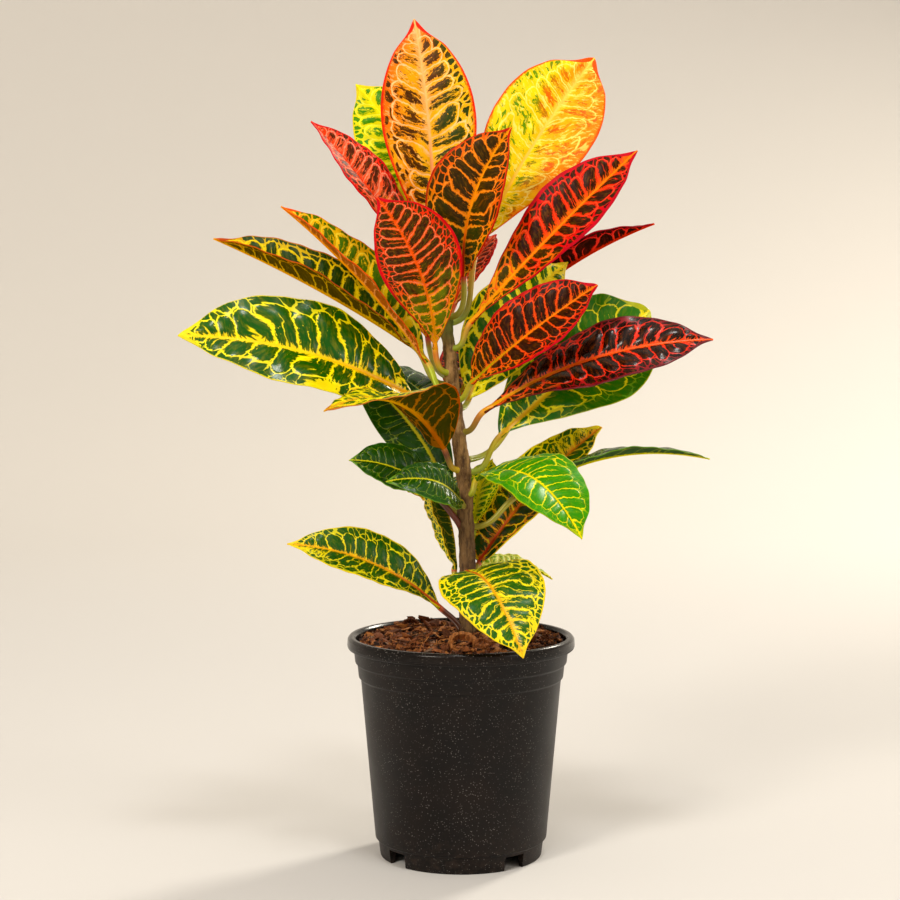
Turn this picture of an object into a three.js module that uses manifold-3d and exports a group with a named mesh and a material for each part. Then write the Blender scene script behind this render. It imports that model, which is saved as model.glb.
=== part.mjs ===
// A potted croton: a woody stem with large leathery leaves, in potting mix in a black plastic nursery pot.
// Millimetres, +Z up. The origin is the middle of the pot's underside, where it meets the ground.
// +X is the right of the plant as it is usually seen, and -Y is towards the viewer.
import * as THREE from 'three';
import { mergeVertices } from 'three/addons/utils/BufferGeometryUtils.js';
import Module from 'manifold-3d';

const wasm = await Module();
wasm.setup();

// Driving dimensions of the pot
const POT_HEIGHT = 165;
const RIM_RADIUS = 85;
const FOOT_RADIUS = 60.5;
const POT_WALL = 2;
const RIM_DEPTH = 8;
const POT_SIDES = 48;
const DRAIN_NOTCHES = 4;
const FIRST_NOTCH_DEG = 39.5;
const NOTCH_WIDTH = 17.5;
const NOTCH_HEIGHT = 10.5;
const NOTCH_DEPTH = 12;
const CHANNEL_HEIGHT = 13;
const SEAM_HEIGHT = 12.5;
const BAND_DROPS = [13, 24];
const BAND_STEP = 1.6;
const LIP_WIDTH = 4.8;
const FLOOR_DISC_RADIUS = 33;
const DRAIN_HOLES = 8;
const DRAIN_HOLE_RADIUS = 5;
const DRAIN_HOLE_PLACE = 46;

// Driving dimensions of the plant
const SOIL_LEVEL = 161;
const SOIL_DOME = 5;
const STEM_FOOT = 96;
const STEM_SIDES = 10;
const CLEARANCE = 0.3;
const PETIOLE_RADIUS = 2.2;
const BLADE_THICKNESS = 1.1;
const MARGIN_THICKNESS = 0.7;
const LEAF_SIDES = 10;
const BLADE_STEPS = 13;
const PETIOLE_STEPS = 4;
const NODE_SWELLING = 0.5;
const RIPPLES = 2.7;

// The stem's middle line as [x, y, z, radius], from its buried foot to the bud at its tip.
const STEM_LINE = [
  [5, 0, STEM_FOOT, 6.6], [5, 0, 150, 6.8], [5, 0, 170, 6.4], [5, 0, 212, 5.9], [4, 0, 242, 5.6],
  [3, 0, 273, 5.5], [0, 0, 300, 5.4], [-3, 0, 322, 5.3], [-6, 0, 348, 5.0], [-8, 0, 372, 4.7],
  [-10, 0, 388, 4.3], [-11, 0, 402, 3.6], [-11, 0, 410, 2],
];

// The leaves, from the crown down. node is the height on the stem, base and tip are the blade's two ends,
// faces is where the upper side looks, and arch and sway bow the midrib towards the upper side and sideways.
// fold lifts the left and right halves from flat, in degrees, and opens is the share lost towards the tip.
// skew moves the arch towards the base, and twist turns the blade's two ends against its middle, in degrees.
// halves scales the two halves' widths. widest is the place of the greatest width along the blade, and blunt
// below 0.86 rounds both of its ends; either can be one number or one for each half.
// wave is the height of the ripples. rise is how steeply the petiole climbs as it leaves the stem.
const LEAVES = [
  { name: 'leaf_crown_tall', node: 399, base: [-20, 14, 443], tip: [-35, 26, 623], width: 72,
    faces: [0.05, -1, 0.15], arch: 8, sway: 4, fold: [14, 12], widest: 0.58, wave: 1.5 },
  { name: 'leaf_crown_gold', node: 398, base: [14, 20, 458], tip: [101, 46, 597], width: 82,
    faces: [-0.1, -1, 0.25], arch: 6, sway: -3, fold: [10, 12], blunt: 0.75, widest: 0.6, wave: 2 },
  { name: 'leaf_crown_dark', node: 402, base: [2, -8, 432], tip: [36, -32, 538], width: 70,
    faces: [-0.3, -1, 0.1], arch: 6, sway: -9, fold: [14, 38], widest: 0.5, wave: 1 },
  { name: 'leaf_crown_crimson', node: 379, base: [7, -9, 398], tip: [127, -25, 522], width: 58,
    faces: [-0.15, -0.85, 0.5], arch: 8, sway: 2, fold: [14, 26], widest: 0.62, wave: 1 },
  { name: 'leaf_front_red', node: 361, base: [-19, -12, 379], tip: [-60, -48, 487], width: 68,
    faces: [0.1, -1, 0.25], arch: 8, sway: 8, fold: [30, 10], widest: 0.6, wave: 1 },
  { name: 'leaf_left_pink', node: 390, base: [-28, 4, 436], tip: [-109, -14, 544], width: 50,
    faces: [0.66, -0.54, 0.5], arch: 4, sway: 0, fold: [18, 22], widest: 0.55, wave: 1 },
  { name: 'leaf_back_lime', node: 389, base: [-18, 34, 452], tip: [-80, 60, 579], width: 66,
    faces: [0.1, -1, 0.2], arch: 4, sway: 10, fold: [12, 12], widest: 0.6, wave: 2.5 },
  { name: 'leaf_left_orange', node: 346, base: [-25, -12, 369], tip: [-130, -28, 482], width: 52,
    faces: [0.6, -0.4, 0.75], arch: 6, sway: 0, fold: [34, 30], widest: 0.5, wave: 1.5 },
  { name: 'leaf_left_slender', node: 352, base: [-36, 0, 381], tip: [-183, 6, 460], width: 58,
    faces: [0.35, -0.4, 0.9], arch: 4, sway: 0, fold: [44, 40], widest: 0.5, wave: 1 },
  { name: 'leaf_left_broad', node: 322, base: [-36, -6, 343], tip: [-203, -46, 389], width: 84,
    faces: [0.1, -0.8, 0.6], arch: 14, sway: 4, fold: [12, 12], halves: [0.84, 1], blunt: 0.7,
    widest: 0.5, wave: 2 },
  { name: 'leaf_right_slender', node: 361, base: [16, 70, 383], tip: [143, 8, 471], width: 54,
    faces: [-0.5, 0.25, 0.8], arch: 10, sway: 0, fold: [34, 26], widest: 0.5, wave: 1 },
  { name: 'leaf_right_maroon', node: 341, base: [8, -13, 354], tip: [97, -50, 425], width: 57,
    faces: [-0.15, -0.9, 0.45], arch: 8, sway: 1, fold: [12, 26], blunt: [0.62, 0.8],
    widest: [0.5, 0.6], wave: 1 },
  { name: 'leaf_right_striped', node: 334, base: [6, 14, 341], tip: [80, 22, 443], width: 72,
    faces: [-0.3, -1, 0.35], arch: 8, sway: -6, fold: [10, 10], halves: [0.9, 1], widest: 0.5,
    wave: 1.5 },
  { name: 'leaf_right_black', node: 317, base: [17, -12, 333], tip: [181, -40, 386], width: 60,
    faces: [-0.1, -0.75, 0.65], arch: 14, sway: -5, fold: [8, 12], halves: [0.93, 1], widest: 0.6,
    wave: 1.5 },
  { name: 'leaf_right_broad', node: 287, base: [29, 0, 314], tip: [141, 16, 407], width: 88,
    faces: [-0.05, -1, 0.4], arch: 6, sway: 0, fold: [8, 8], blunt: [0.48, 0.75],
    widest: [0.6, 0.66], wave: 2.5 },
  { name: 'leaf_left_arched', node: 289, base: [-13, -16, 306], tip: [-95, -102, 338], width: 80,
    faces: [0.05, 0.22, 0.95], arch: 22, sway: 0, fold: [10, 50], skew: 0.2, twist: [50, -15], opens: 0.9,
    halves: [1, 0.5], widest: 0.4, wave: 1 },
  { name: 'leaf_left_dark', node: 256, base: [-8, 1, 269], tip: [-86, 29, 364], width: 46,
    faces: [-0.35, -0.75, 0.55], arch: 6, sway: 10, fold: [10, 14], widest: 0.5, wave: 1 },
  { name: 'leaf_left_small', node: 247, base: [-17, -12, 269], tip: [-82, -26, 298], width: 38,
    faces: [-0.1, -0.75, 0.65], arch: 8, sway: 4, fold: [10, 10], rise: 1.2, widest: 0.55, wave: 1 },
  { name: 'leaf_front_small', node: 262, base: [0, -13, 266], tip: [-54, -58, 285], width: 48,
    faces: [-0.25, -0.85, 0.5], arch: 16, sway: 0, fold: [10, 10], blunt: 0.7, skew: -0.3,
    halves: [0.85, 0.6], widest: 0.5, wave: 1 },
  { name: 'leaf_right_drooping', node: 271, base: [12, -10, 283], tip: [85, -76, 246], width: 70,
    faces: [0.35, -0.62, 0.7], arch: 22, sway: -4, fold: [8, 8], skew: 0.2, widest: 0.5, wave: 1.5 },
  { name: 'leaf_right_far', node: 246, base: [40, 0, 268], tip: [185, 2, 297], width: 44,
    faces: [-0.2, 0.05, 1], arch: 16, sway: 0, fold: [12, 12], widest: 0.55, wave: 1 },
  { name: 'leaf_right_yellow_tip', node: 203, base: [14, 12, 218], tip: [109, 58, 317], width: 56,
    faces: [-0.4, -0.8, 0.5], arch: 6, sway: -4, fold: [12, 24], blunt: [0.5, 0.8], rise: 1.5,
    widest: [0.42, 0.5], wave: 1 },
  { name: 'leaf_low_left_upright', node: 200, base: [-5, 8, 213], tip: [-30, 14, 292], width: 38,
    faces: [-0.97, -0.2, -0.1], arch: -8, sway: 0, fold: [40, 40], rise: 1.5, widest: 0.5, wave: 1 },
  { name: 'leaf_low_left', node: 170, base: [-16, -8, 187], tip: [-127, -30, 237], width: 47,
    faces: [0.3, -0.75, 0.6], arch: 12, sway: 5, fold: [18, 18], rise: 1.5, halves: [0.85, 1],
    widest: [0.58, 0.5], wave: 1 },
  { name: 'leaf_low_front', node: 204, base: [4, -17, 214], tip: [43, -98, 165], width: 76,
    faces: [0.05, -0.65, 0.85], arch: 20, sway: 0, fold: [8, 8], skew: 0.1, widest: 0.45, wave: 1.5 },
  { name: 'leaf_low_right_back', node: 192, base: [12, 22, 214], tip: [71, 52, 200], width: 38,
    faces: [0.2, -0.15, 1], arch: 6, sway: 0, fold: [8, 8], rise: 0.8, widest: 0.5, wave: 1 },
  { name: 'leaf_low_back', node: 234, base: [10, 18, 246], tip: [24, 38, 294], width: 32,
    faces: [-0.4, -0.8, 0.4], arch: 6, sway: 0, fold: [10, 10], widest: 0.5, wave: 1 },
  { name: 'leaf_back_left', node: 316, base: [-10, 30, 320], tip: [-80, 92, 362], width: 54,
    faces: [0.3, -0.2, 0.95], arch: 12, sway: 0, fold: [10, 10], widest: 0.5, wave: 1.5 },
  { name: 'leaf_back_young', node: 379, base: [-5, 46, 411], tip: [28, 86, 466], width: 34,
    faces: [-0.3, -0.7, 0.7], arch: 6, sway: 0, fold: [20, 20], widest: 0.5, wave: 0.5 },
  { name: 'leaf_back_1', node: 262, base: [-14, 30, 300], tip: [-66, 120, 326], width: 58,
    faces: [0.2, -0.3, 0.95], arch: 16, sway: 0, fold: [10, 10], widest: 0.5, wave: 1.5 },
  { name: 'leaf_back_2', node: 296, base: [38, 40, 320], tip: [104, 124, 350], width: 56,
    faces: [-0.2, -0.4, 0.9], arch: 16, sway: 0, fold: [10, 10], widest: 0.5, wave: 1.5 },
  { name: 'leaf_back_3', node: 322, base: [-4, 30, 336], tip: [38, 142, 366], width: 64,
    faces: [-0.1, -0.5, 0.85], arch: 18, sway: 0, fold: [10, 10], widest: 0.5, wave: 1.5 },
  { name: 'leaf_back_4', node: 358, base: [-25, 34, 386], tip: [-56, 120, 470], width: 60,
    faces: [0.2, -0.6, 0.7], arch: 16, sway: 0, fold: [10, 10], widest: 0.5, wave: 1.5 },
  { name: 'leaf_back_5', node: 240, base: [2, 40, 250], tip: [-30, 126, 254], width: 54,
    faces: [-0.1, -0.2, 1], arch: 16, sway: 0, fold: [10, 10], widest: 0.5, wave: 1.5 },
];

// Materials
const finish = (color, roughness) => new THREE.MeshStandardMaterial({ color, roughness, metalness: 0 });
const potPlastic = finish(0x1d1a18, 0.5);
const pottingMix = finish(0x5a3320, 0.95);
const bark = finish(0x6f5844, 0.85);
const leafGreen = finish(0x2f6a1c, 0.4);
const leafRed = finish(0xa83425, 0.4);
const leafGold = finish(0xe0922a, 0.4);
const RED_LEAVES = ['leaf_crown_dark', 'leaf_crown_crimson', 'leaf_front_red', 'leaf_left_pink',
  'leaf_right_slender', 'leaf_right_maroon', 'leaf_right_black'];
const GOLD_LEAVES = ['leaf_crown_tall', 'leaf_crown_gold', 'leaf_left_orange'];

function leafMaterial(name) {
  if (GOLD_LEAVES.includes(name)) return leafGold;
  return RED_LEAVES.includes(name) ? leafRed : leafGreen;
}

// Solids
function solidOf(geometry) {
  const bare = geometry.clone();
  for (const name of ['normal', 'uv']) bare.deleteAttribute(name);
  const merged = mergeVertices(bare, 1e-4);
  return new wasm.Manifold(new wasm.Mesh({
    numProp: 3,
    vertProperties: merged.attributes.position.array,
    triVerts: new Uint32Array(merged.index.array),
  }));
}

function geometryOf(solid) {
  const mesh = solid.getMesh();
  const places = new Float32Array(mesh.numVert * 3);
  for (let i = 0; i < mesh.numVert; i++) {
    places.set(mesh.vertProperties.subarray(i * mesh.numProp, i * mesh.numProp + 3), i * 3);
  }
  const geometry = new THREE.BufferGeometry();
  geometry.setAttribute('position', new THREE.BufferAttribute(places, 3));
  geometry.setIndex(new THREE.BufferAttribute(mesh.triVerts, 1));
  geometry.computeVertexNormals();
  return geometry;
}

// A closed skin over rings of points, each ring with the same number of points, with a flat fan at both ends.
function loft(rings) {
  const sides = rings[0].length;
  const faces = [];
  for (let k = 0; k + 1 < rings.length; k++) {
    for (let i = 0; i < sides; i++) {
      const a = k * sides + i;
      const b = k * sides + (i + 1) % sides;
      faces.push(a, b, b + sides, a, b + sides, a + sides);
    }
  }
  const last = (rings.length - 1) * sides;
  for (let i = 1; i + 1 < sides; i++) {
    faces.push(0, i + 1, i);
    faces.push(last, last + i, last + i + 1);
  }
  const geometry = new THREE.BufferGeometry();
  const places = rings.flat().flatMap((p) => [p.x, p.y, p.z]);
  geometry.setAttribute('position', new THREE.Float32BufferAttribute(places, 3));
  geometry.setIndex(faces);
  geometry.computeVertexNormals();
  return geometry;
}

// A repeatable random number between 0 and 1 for each whole number.
function draw(seed) {
  const x = Math.sin(seed * 127.1 + 311.7) * 43758.5453;
  return x - Math.floor(x);
}

// The pot: a tapered wall with a rolled rim, two stepped bands under it, a raised channel round a flat floor,
// and a foot ring with drain notches.
function potWallRadius(z) {
  return THREE.MathUtils.lerp(FOOT_RADIUS + 2.2, RIM_RADIUS - 8, z / (POT_HEIGHT - RIM_DEPTH));
}

function buildPot() {
  const bandTop = POT_HEIGHT - RIM_DEPTH;
  const [upperBand, lowerBand] = BAND_DROPS.map((drop) => bandTop - drop);
  const slope = 1.5;
  const outer = [
    [FOOT_RADIUS, 0],
    [FOOT_RADIUS + 1.6, SEAM_HEIGHT], [potWallRadius(SEAM_HEIGHT) + 0.4, SEAM_HEIGHT + 1],
    [potWallRadius(lowerBand), lowerBand], [potWallRadius(lowerBand) + BAND_STEP, lowerBand + slope],
    [potWallRadius(upperBand) + BAND_STEP, upperBand],
    [potWallRadius(upperBand) + 2 * BAND_STEP, upperBand + slope],
    [RIM_RADIUS - LIP_WIDTH, bandTop - 1],
    [RIM_RADIUS - 0.8, bandTop - 1], [RIM_RADIUS, bandTop + 1.2], [RIM_RADIUS - 0.4, POT_HEIGHT - 1.8],
    [RIM_RADIUS - 2, POT_HEIGHT],
  ];
  const inner = [
    [RIM_RADIUS - LIP_WIDTH, POT_HEIGHT], [RIM_RADIUS - LIP_WIDTH - POT_WALL, POT_HEIGHT - 2],
    [potWallRadius(upperBand) + 2 * BAND_STEP - POT_WALL, upperBand],
    [potWallRadius(lowerBand) - POT_WALL, lowerBand - 2],
    [potWallRadius(CHANNEL_HEIGHT) - POT_WALL, CHANNEL_HEIGHT],
    [FLOOR_DISC_RADIUS + 1, CHANNEL_HEIGHT], [FLOOR_DISC_RADIUS - 2, POT_WALL], [0, POT_WALL],
  ];
  const under = [
    [0, 0], [FLOOR_DISC_RADIUS, 0], [FLOOR_DISC_RADIUS + 3, CHANNEL_HEIGHT - POT_WALL],
    [FOOT_RADIUS - 5, CHANNEL_HEIGHT - POT_WALL], [FOOT_RADIUS - 4, 0],
  ];
  const outline = [...under, ...outer, ...inner].map(([r, z]) => new THREE.Vector2(r, z));
  const lathe = new THREE.LatheGeometry(outline, POT_SIDES).rotateX(Math.PI / 2);
  const notch = new THREE.BoxGeometry(NOTCH_DEPTH, NOTCH_WIDTH, 2 * NOTCH_HEIGHT)
    .translate(FOOT_RADIUS, 0, 0);
  const drain = new THREE.CylinderGeometry(DRAIN_HOLE_RADIUS, DRAIN_HOLE_RADIUS, 3 * POT_WALL, 8)
    .rotateX(Math.PI / 2).translate(DRAIN_HOLE_PLACE, 0, CHANNEL_HEIGHT - POT_WALL / 2);
  let solid = solidOf(lathe);
  for (const [shape, count] of [[notch, DRAIN_NOTCHES], [drain, DRAIN_HOLES]]) {
    for (let i = 0; i < count; i++) {
      const angle = THREE.MathUtils.degToRad(FIRST_NOTCH_DEG + (i * 360) / count);
      solid = solid.subtract(solidOf(shape.clone().rotateZ(angle)));
    }
  }
  return geometryOf(solid);
}

// The stem
function stemAt(z) {
  const next = Math.max(1, STEM_LINE.findIndex((row) => row[2] >= z));
  const [low, high] = [STEM_LINE[next - 1], STEM_LINE[next]];
  const share = (z - low[2]) / (high[2] - low[2]);
  const [x, y, , radius] = low.map((value, i) => THREE.MathUtils.lerp(value, high[i], share));
  return { centre: new THREE.Vector3(x, y, z), radius };
}

// Leaf nodes stand out from the stem as low rings.
function nodeSwelling(z) {
  const nearest = Math.min(...LEAVES.map((leaf) => Math.abs(z - leaf.node)));
  return NODE_SWELLING * Math.exp(-((nearest / 3) ** 2));
}

function stemRing(z) {
  const { centre, radius } = stemAt(z);
  const full = radius + nodeSwelling(z);
  return Array.from({ length: STEM_SIDES }, (_, i) => {
    const angle = (i / STEM_SIDES) * 2 * Math.PI;
    return new THREE.Vector3(centre.x + full * Math.cos(angle), centre.y + full * Math.sin(angle), z);
  });
}

function buildStem() {
  const rings = [];
  const top = STEM_LINE.at(-1)[2];
  const step = 6;
  for (let z = STEM_FOOT; z < top; z += step) rings.push(stemRing(z));
  rings.push(stemRing(top));
  return loft(rings);
}

// Leaves
// Half the width of one side of the blade at t, which runs from 0 at the blade's base to 1 at its tip.
function halfWidth(leaf, t, side) {
  const [widest, blunt, share] = [leaf.widest, leaf.blunt ?? 0.86, leaf.halves ?? 1]
    .map((value) => (Array.isArray(value) ? value[side] : value));
  const along = t ** (Math.log(0.5) / Math.log(widest));
  const drip = 1 - 0.35 * THREE.MathUtils.smoothstep(t, 0.86, 0.97);
  return (leaf.width / 2) * share * Math.sin(Math.PI * along) ** blunt * drip;
}

function across(vector, direction) {
  return vector.clone().addScaledVector(direction, -vector.dot(direction)).normalize();
}

function bladeCurve(leaf) {
  const base = new THREE.Vector3(...leaf.base);
  const tip = new THREE.Vector3(...leaf.tip);
  const chord = tip.clone().sub(base);
  const along = chord.clone().normalize();
  const up = across(new THREE.Vector3(...leaf.faces), along);
  const side = along.clone().cross(up);
  const skew = leaf.skew ?? 0;
  const handle = (share, lean) => base.clone().addScaledVector(chord, share)
    .addScaledVector(up, leaf.arch * lean * 4 / 3).addScaledVector(side, leaf.sway * 4 / 3);
  return new THREE.CubicBezierCurve3(base, handle(1 / 3, 1 + skew), handle(2 / 3, 1 - skew), tip);
}

function petioleCurve(leaf, blade) {
  const { centre, radius } = stemAt(leaf.node);
  const base = blade.v0;
  const out = base.clone().sub(centre).setZ(0).normalize();
  const leaving = out.clone().setZ(leaf.rise ?? 0).normalize();
  const clear = radius + CLEARANCE + Math.max(NODE_SWELLING, PETIOLE_RADIUS * leaving.z);
  const start = centre.clone().addScaledVector(out, clear);
  const reach = start.distanceTo(base);
  return new THREE.CubicBezierCurve3(
    start,
    start.clone().addScaledVector(leaving, reach * 0.45),
    base.clone().addScaledVector(blade.getTangent(0), -reach * 0.4),
    base,
  );
}

// The petiole's and blade's stations, each with its place, its tangent and its upper direction.
function leafStations(leaf) {
  const blade = bladeCurve(leaf);
  const petiole = petioleCurve(leaf, blade);
  const stations = [];
  for (let k = 0; k < PETIOLE_STEPS; k++) {
    const t = k / PETIOLE_STEPS;
    stations.push({ place: petiole.getPoint(t), tangent: petiole.getTangent(t), t: -1 });
  }
  for (let k = 0; k <= BLADE_STEPS; k++) {
    const t = k / BLADE_STEPS;
    stations.push({ place: blade.getPoint(t), tangent: blade.getTangent(t), t });
  }
  const middle = PETIOLE_STEPS + Math.floor(BLADE_STEPS / 2);
  stations[middle].up = across(new THREE.Vector3(...leaf.faces), stations[middle].tangent);
  const carry = (from, to) => {
    stations[to].up = across(stations[from].up, stations[to].tangent);
  };
  for (let k = middle + 1; k < stations.length; k++) carry(k - 1, k);
  for (let k = middle - 1; k >= 0; k--) carry(k + 1, k);
  const [baseTurn, tipTurn] = (leaf.twist ?? [0, 0]).map(THREE.MathUtils.degToRad);
  for (const station of stations) {
    const fromMiddle = 2 * Math.max(station.t, 0) - 1;
    station.up.applyAxisAngle(station.tangent, Math.abs(fromMiddle) * (fromMiddle < 0 ? baseTurn : tipTurn));
  }
  return stations;
}

// The points round the leaf at one station: round on the petiole, and a thin keeled section on the blade.
function leafRing(leaf, index, station) {
  const side = station.tangent.clone().cross(station.up);
  const at = (right, up) => station.place.clone()
    .addScaledVector(side, right).addScaledVector(station.up, up);
  if (station.t < 0) {
    return Array.from({ length: LEAF_SIDES }, (_, i) => {
      const angle = Math.PI - ((i + 0.5) * 2 * Math.PI) / LEAF_SIDES;
      return at(PETIOLE_RADIUS * Math.cos(angle), PETIOLE_RADIUS * Math.sin(angle));
    });
  }
  const { t } = station;
  const rib = THREE.MathUtils.lerp(PETIOLE_RADIUS, 0.4, Math.sqrt(t));
  const thick = BLADE_THICKNESS / 2;
  const edge = MARGIN_THICKNESS / 2;
  const closed = THREE.MathUtils.smoothstep(t, 0, 0.12) * (1 - (leaf.opens ?? 0) * t);
  const margin = (hand, share, skin) => {
    const half = hand < 0 ? 0 : 1;
    const lift = THREE.MathUtils.degToRad(leaf.fold[half]) * closed;
    const phase = 2 * Math.PI * (RIPPLES * t + draw(index * 2 + hand));
    const ripple = leaf.wave * Math.sin(phase) * share ** 2 * Math.sin(Math.PI * t);
    const reach = Math.max(rib, halfWidth(leaf, t, half)) * share;
    return at(hand * reach * Math.cos(lift), reach * Math.sin(lift) + ripple + skin);
  };
  return [
    margin(-1, 1, edge), margin(-1, 0.5, thick), at(0, thick), margin(1, 0.5, thick), margin(1, 1, edge),
    margin(1, 1, -edge), margin(1, 0.5, -thick), at(0, -thick - rib), margin(-1, 0.5, -thick),
    margin(-1, 1, -edge),
  ];
}

function buildLeaf(leaf, index) {
  const stations = leafStations(leaf);
  const geometry = loft(stations.map((station) => leafRing(leaf, index, station)));
  const joint = stations[0].place;
  const mesh = new THREE.Mesh(geometry.translate(-joint.x, -joint.y, -joint.z), leafMaterial(leaf.name));
  mesh.name = leaf.name;
  mesh.position.copy(joint);
  return mesh;
}

// Potting mix: fills the pot to just under its rim, with a lumpy top and a plain hole for the stem.
function soilHeight(radius, angle) {
  const coarse = Math.sin(radius * 0.33 + 2.1 * Math.sin(3 * angle)) * Math.cos(7 * angle + radius * 0.11);
  const fine = Math.sin(radius * 0.9 + 11 * angle) * Math.cos(13 * angle - radius * 0.5);
  const dome = SOIL_DOME * (1 - (radius / RIM_RADIUS) ** 2);
  return SOIL_LEVEL + dome + 1.5 * coarse + 1.1 * fine;
}

function buildSoil() {
  const sides = POT_SIDES;
  const stem = stemAt(SOIL_LEVEL);
  const holeRadius = Math.max(...STEM_LINE.map((row) => row[3])) + 3 * CLEARANCE;
  const [upperBand, lowerBand] = BAND_DROPS.map((drop) => POT_HEIGHT - RIM_DEPTH - drop);
  const inside = (z) => potWallRadius(z) - POT_WALL - 2 * CLEARANCE;
  const edge = inside(upperBand) + 2 * BAND_STEP;
  const topRadii = [13, 20, 28, 36, 44, 52, 60, 68];
  const wall = [[edge, upperBand], [inside(lowerBand), lowerBand - 2],
    [inside(CHANNEL_HEIGHT), CHANNEL_HEIGHT + CLEARANCE]];
  const floor = [[FLOOR_DISC_RADIUS + 0.4, CHANNEL_HEIGHT + CLEARANCE],
    [FLOOR_DISC_RADIUS - 2.6, POT_WALL + CLEARANCE]];
  const rings = [];
  const ring = (radius, height, shift = 1) => rings.push(Array.from({ length: sides }, (_, i) => {
    const angle = (i / sides) * 2 * Math.PI;
    const z = height ?? soilHeight(radius, angle);
    return new THREE.Vector3(radius * Math.cos(angle) + shift * stem.centre.x, radius * Math.sin(angle), z);
  }));
  ring(holeRadius, STEM_FOOT - CLEARANCE);
  ring(holeRadius);
  topRadii.forEach((radius) => ring(radius, undefined, 1 - radius / edge));
  ring(edge, undefined, 0);
  [...wall, ...floor].forEach(([radius, z]) => ring(radius, z, 0));
  return loft(rings.reverse());
}

// Assembly
function named(name, geometry, material) {
  const mesh = new THREE.Mesh(geometry, material);
  mesh.name = name;
  return mesh;
}

const pot = new THREE.Group();
pot.add(named('nursery_pot', buildPot(), potPlastic), named('potting_mix', buildSoil(), pottingMix));

const plant = new THREE.Group();
plant.add(named('stem', buildStem(), bark), ...LEAVES.map(buildLeaf));

const croton = new THREE.Group();
croton.add(pot, plant);

export default croton;
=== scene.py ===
"""A potted croton: a woody stem with large variegated leaves, in bark mix in a black plastic nursery pot.

Dimensions are in millimetres, as on the part, and each mesh is scaled to metres when it is made.
+X is the right of the plant as it is usually seen, -Y is towards the viewer and +Z is up.
"""
import math
from dataclasses import dataclass, replace
from types import SimpleNamespace

import bmesh
import bpy
import numpy as np
from mathutils import Matrix, Vector, noise


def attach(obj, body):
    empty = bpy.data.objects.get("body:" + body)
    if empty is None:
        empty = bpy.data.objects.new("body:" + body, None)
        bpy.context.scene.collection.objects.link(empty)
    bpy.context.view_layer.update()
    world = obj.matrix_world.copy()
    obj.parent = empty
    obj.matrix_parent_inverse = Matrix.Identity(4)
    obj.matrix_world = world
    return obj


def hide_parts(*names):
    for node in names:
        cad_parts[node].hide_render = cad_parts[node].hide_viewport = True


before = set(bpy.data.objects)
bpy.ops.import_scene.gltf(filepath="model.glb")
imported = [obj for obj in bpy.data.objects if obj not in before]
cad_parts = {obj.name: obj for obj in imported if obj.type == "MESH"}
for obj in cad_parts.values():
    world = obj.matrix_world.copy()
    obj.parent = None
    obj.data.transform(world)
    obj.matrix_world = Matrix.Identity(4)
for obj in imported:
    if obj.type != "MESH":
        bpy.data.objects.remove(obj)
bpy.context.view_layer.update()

MM = 0.001
FULL_TURN = 2 * math.pi

# Sizes of the pot
POT_HEIGHT = 165
RIM_FOOT = 157
RIM_RADIUS = 85
FOOT_RADIUS = 60.5
POT_WALL = 2
POT_SIDES = 192
DRAIN_NOTCHES = 4
FIRST_NOTCH_DEG = 39.5
NOTCH_SIZE = (12, 17.5, 21)
CHANNEL_HEIGHT = 13
SEAM_HEIGHT = 12.5
UPPER_BAND = RIM_FOOT - 13
LOWER_BAND = RIM_FOOT - 24
BAND_STEP = 1.6
LIP_WIDTH = 4.8
FLOOR_DISC_RADIUS = 33
DRAIN_HOLES = 8
DRAIN_HOLE_RADIUS = 5
DRAIN_HOLE_PLACE = 46
SHARP_EDGE_DEG = 38

# Sizes of the plant
SOIL_LEVEL = 161
STEM_FOOT = 96
STEM_RING_STEP = 0.8
STEM_SIDES = 72
PETIOLE_SWELL = 1.3
SCAR_SPACING = 11
SCAR_TURN_DEG = 137.5
SCAR_RADIUS = 2.6
SCAR_RIDGE = 0.5
SCAR_DIP = 0.35
HIGHEST_SCAR = 385
PETIOLE_RADIUS = 2.2
RIB_TIP_RADIUS = 0.45
BLADE_THICKNESS = 1.1
MARGIN_THICKNESS = 0.7
BLADE_STATIONS = 128
PETIOLE_STATIONS = 16
MIDDLE_OF_BLADE = 0.46
EDGE_WIDTH = 0.45
RIPPLES = 2.7
CRIMPS = 9.3
CRIMP_HEIGHT = 0.35
HALF_BOW = 0.16
GROOVE_DEPTH = 0.55
UPPER, UNDER, PETIOLE = range(3)

# Waves in which the side veins stray, as (waves on the blade, height in vein spaces, waves per mm outwards)
VEIN_WAVES = ((1.3, 0.26, 0), (3.4, 0.15, 0.004), (5.7, 0.08, 0.007))

# Markings, as shares of the blade or of the space between two side veins
LOOP_PLACE = 0.76
PATCH_PLACE = 0.42
NET_ZONE = (0.74, 0.92)
NET_SCALE = 1.7
BEND = 0.36
TEAR = 0.55

# Blade surfaces
ROUGHEST_GLOSSY = 0.29
GLOSSY_SHINE = 0.28
SATIN_SHINE = 0.08
UNDERSIDE_ROUGHNESS = 0.5
VEIN_RELIEF = 0.35
TRANSLUCENCY = 0.25
TRANSLUCENT_DEPTH = 3

# The stem's middle line as (x, y, z, radius), from its buried foot to the bud at its tip.
STEM_LINE = np.array([
    (5, 0, STEM_FOOT, 6.6), (5, 0, 150, 6.8), (5, 0, 170, 6.4), (5, 0, 212, 5.9), (4, 0, 242, 5.6),
    (3, 0, 273, 5.5), (0, 0, 300, 5.4), (-3, 0, 322, 5.3), (-6, 0, 348, 5.0), (-8, 0, 372, 4.7),
    (-10, 0, 388, 4.3), (-11, 0, 402, 3.6), (-11, 0, 410, 2),
])
STEM_TOP = STEM_LINE[-1, 2]


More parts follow.
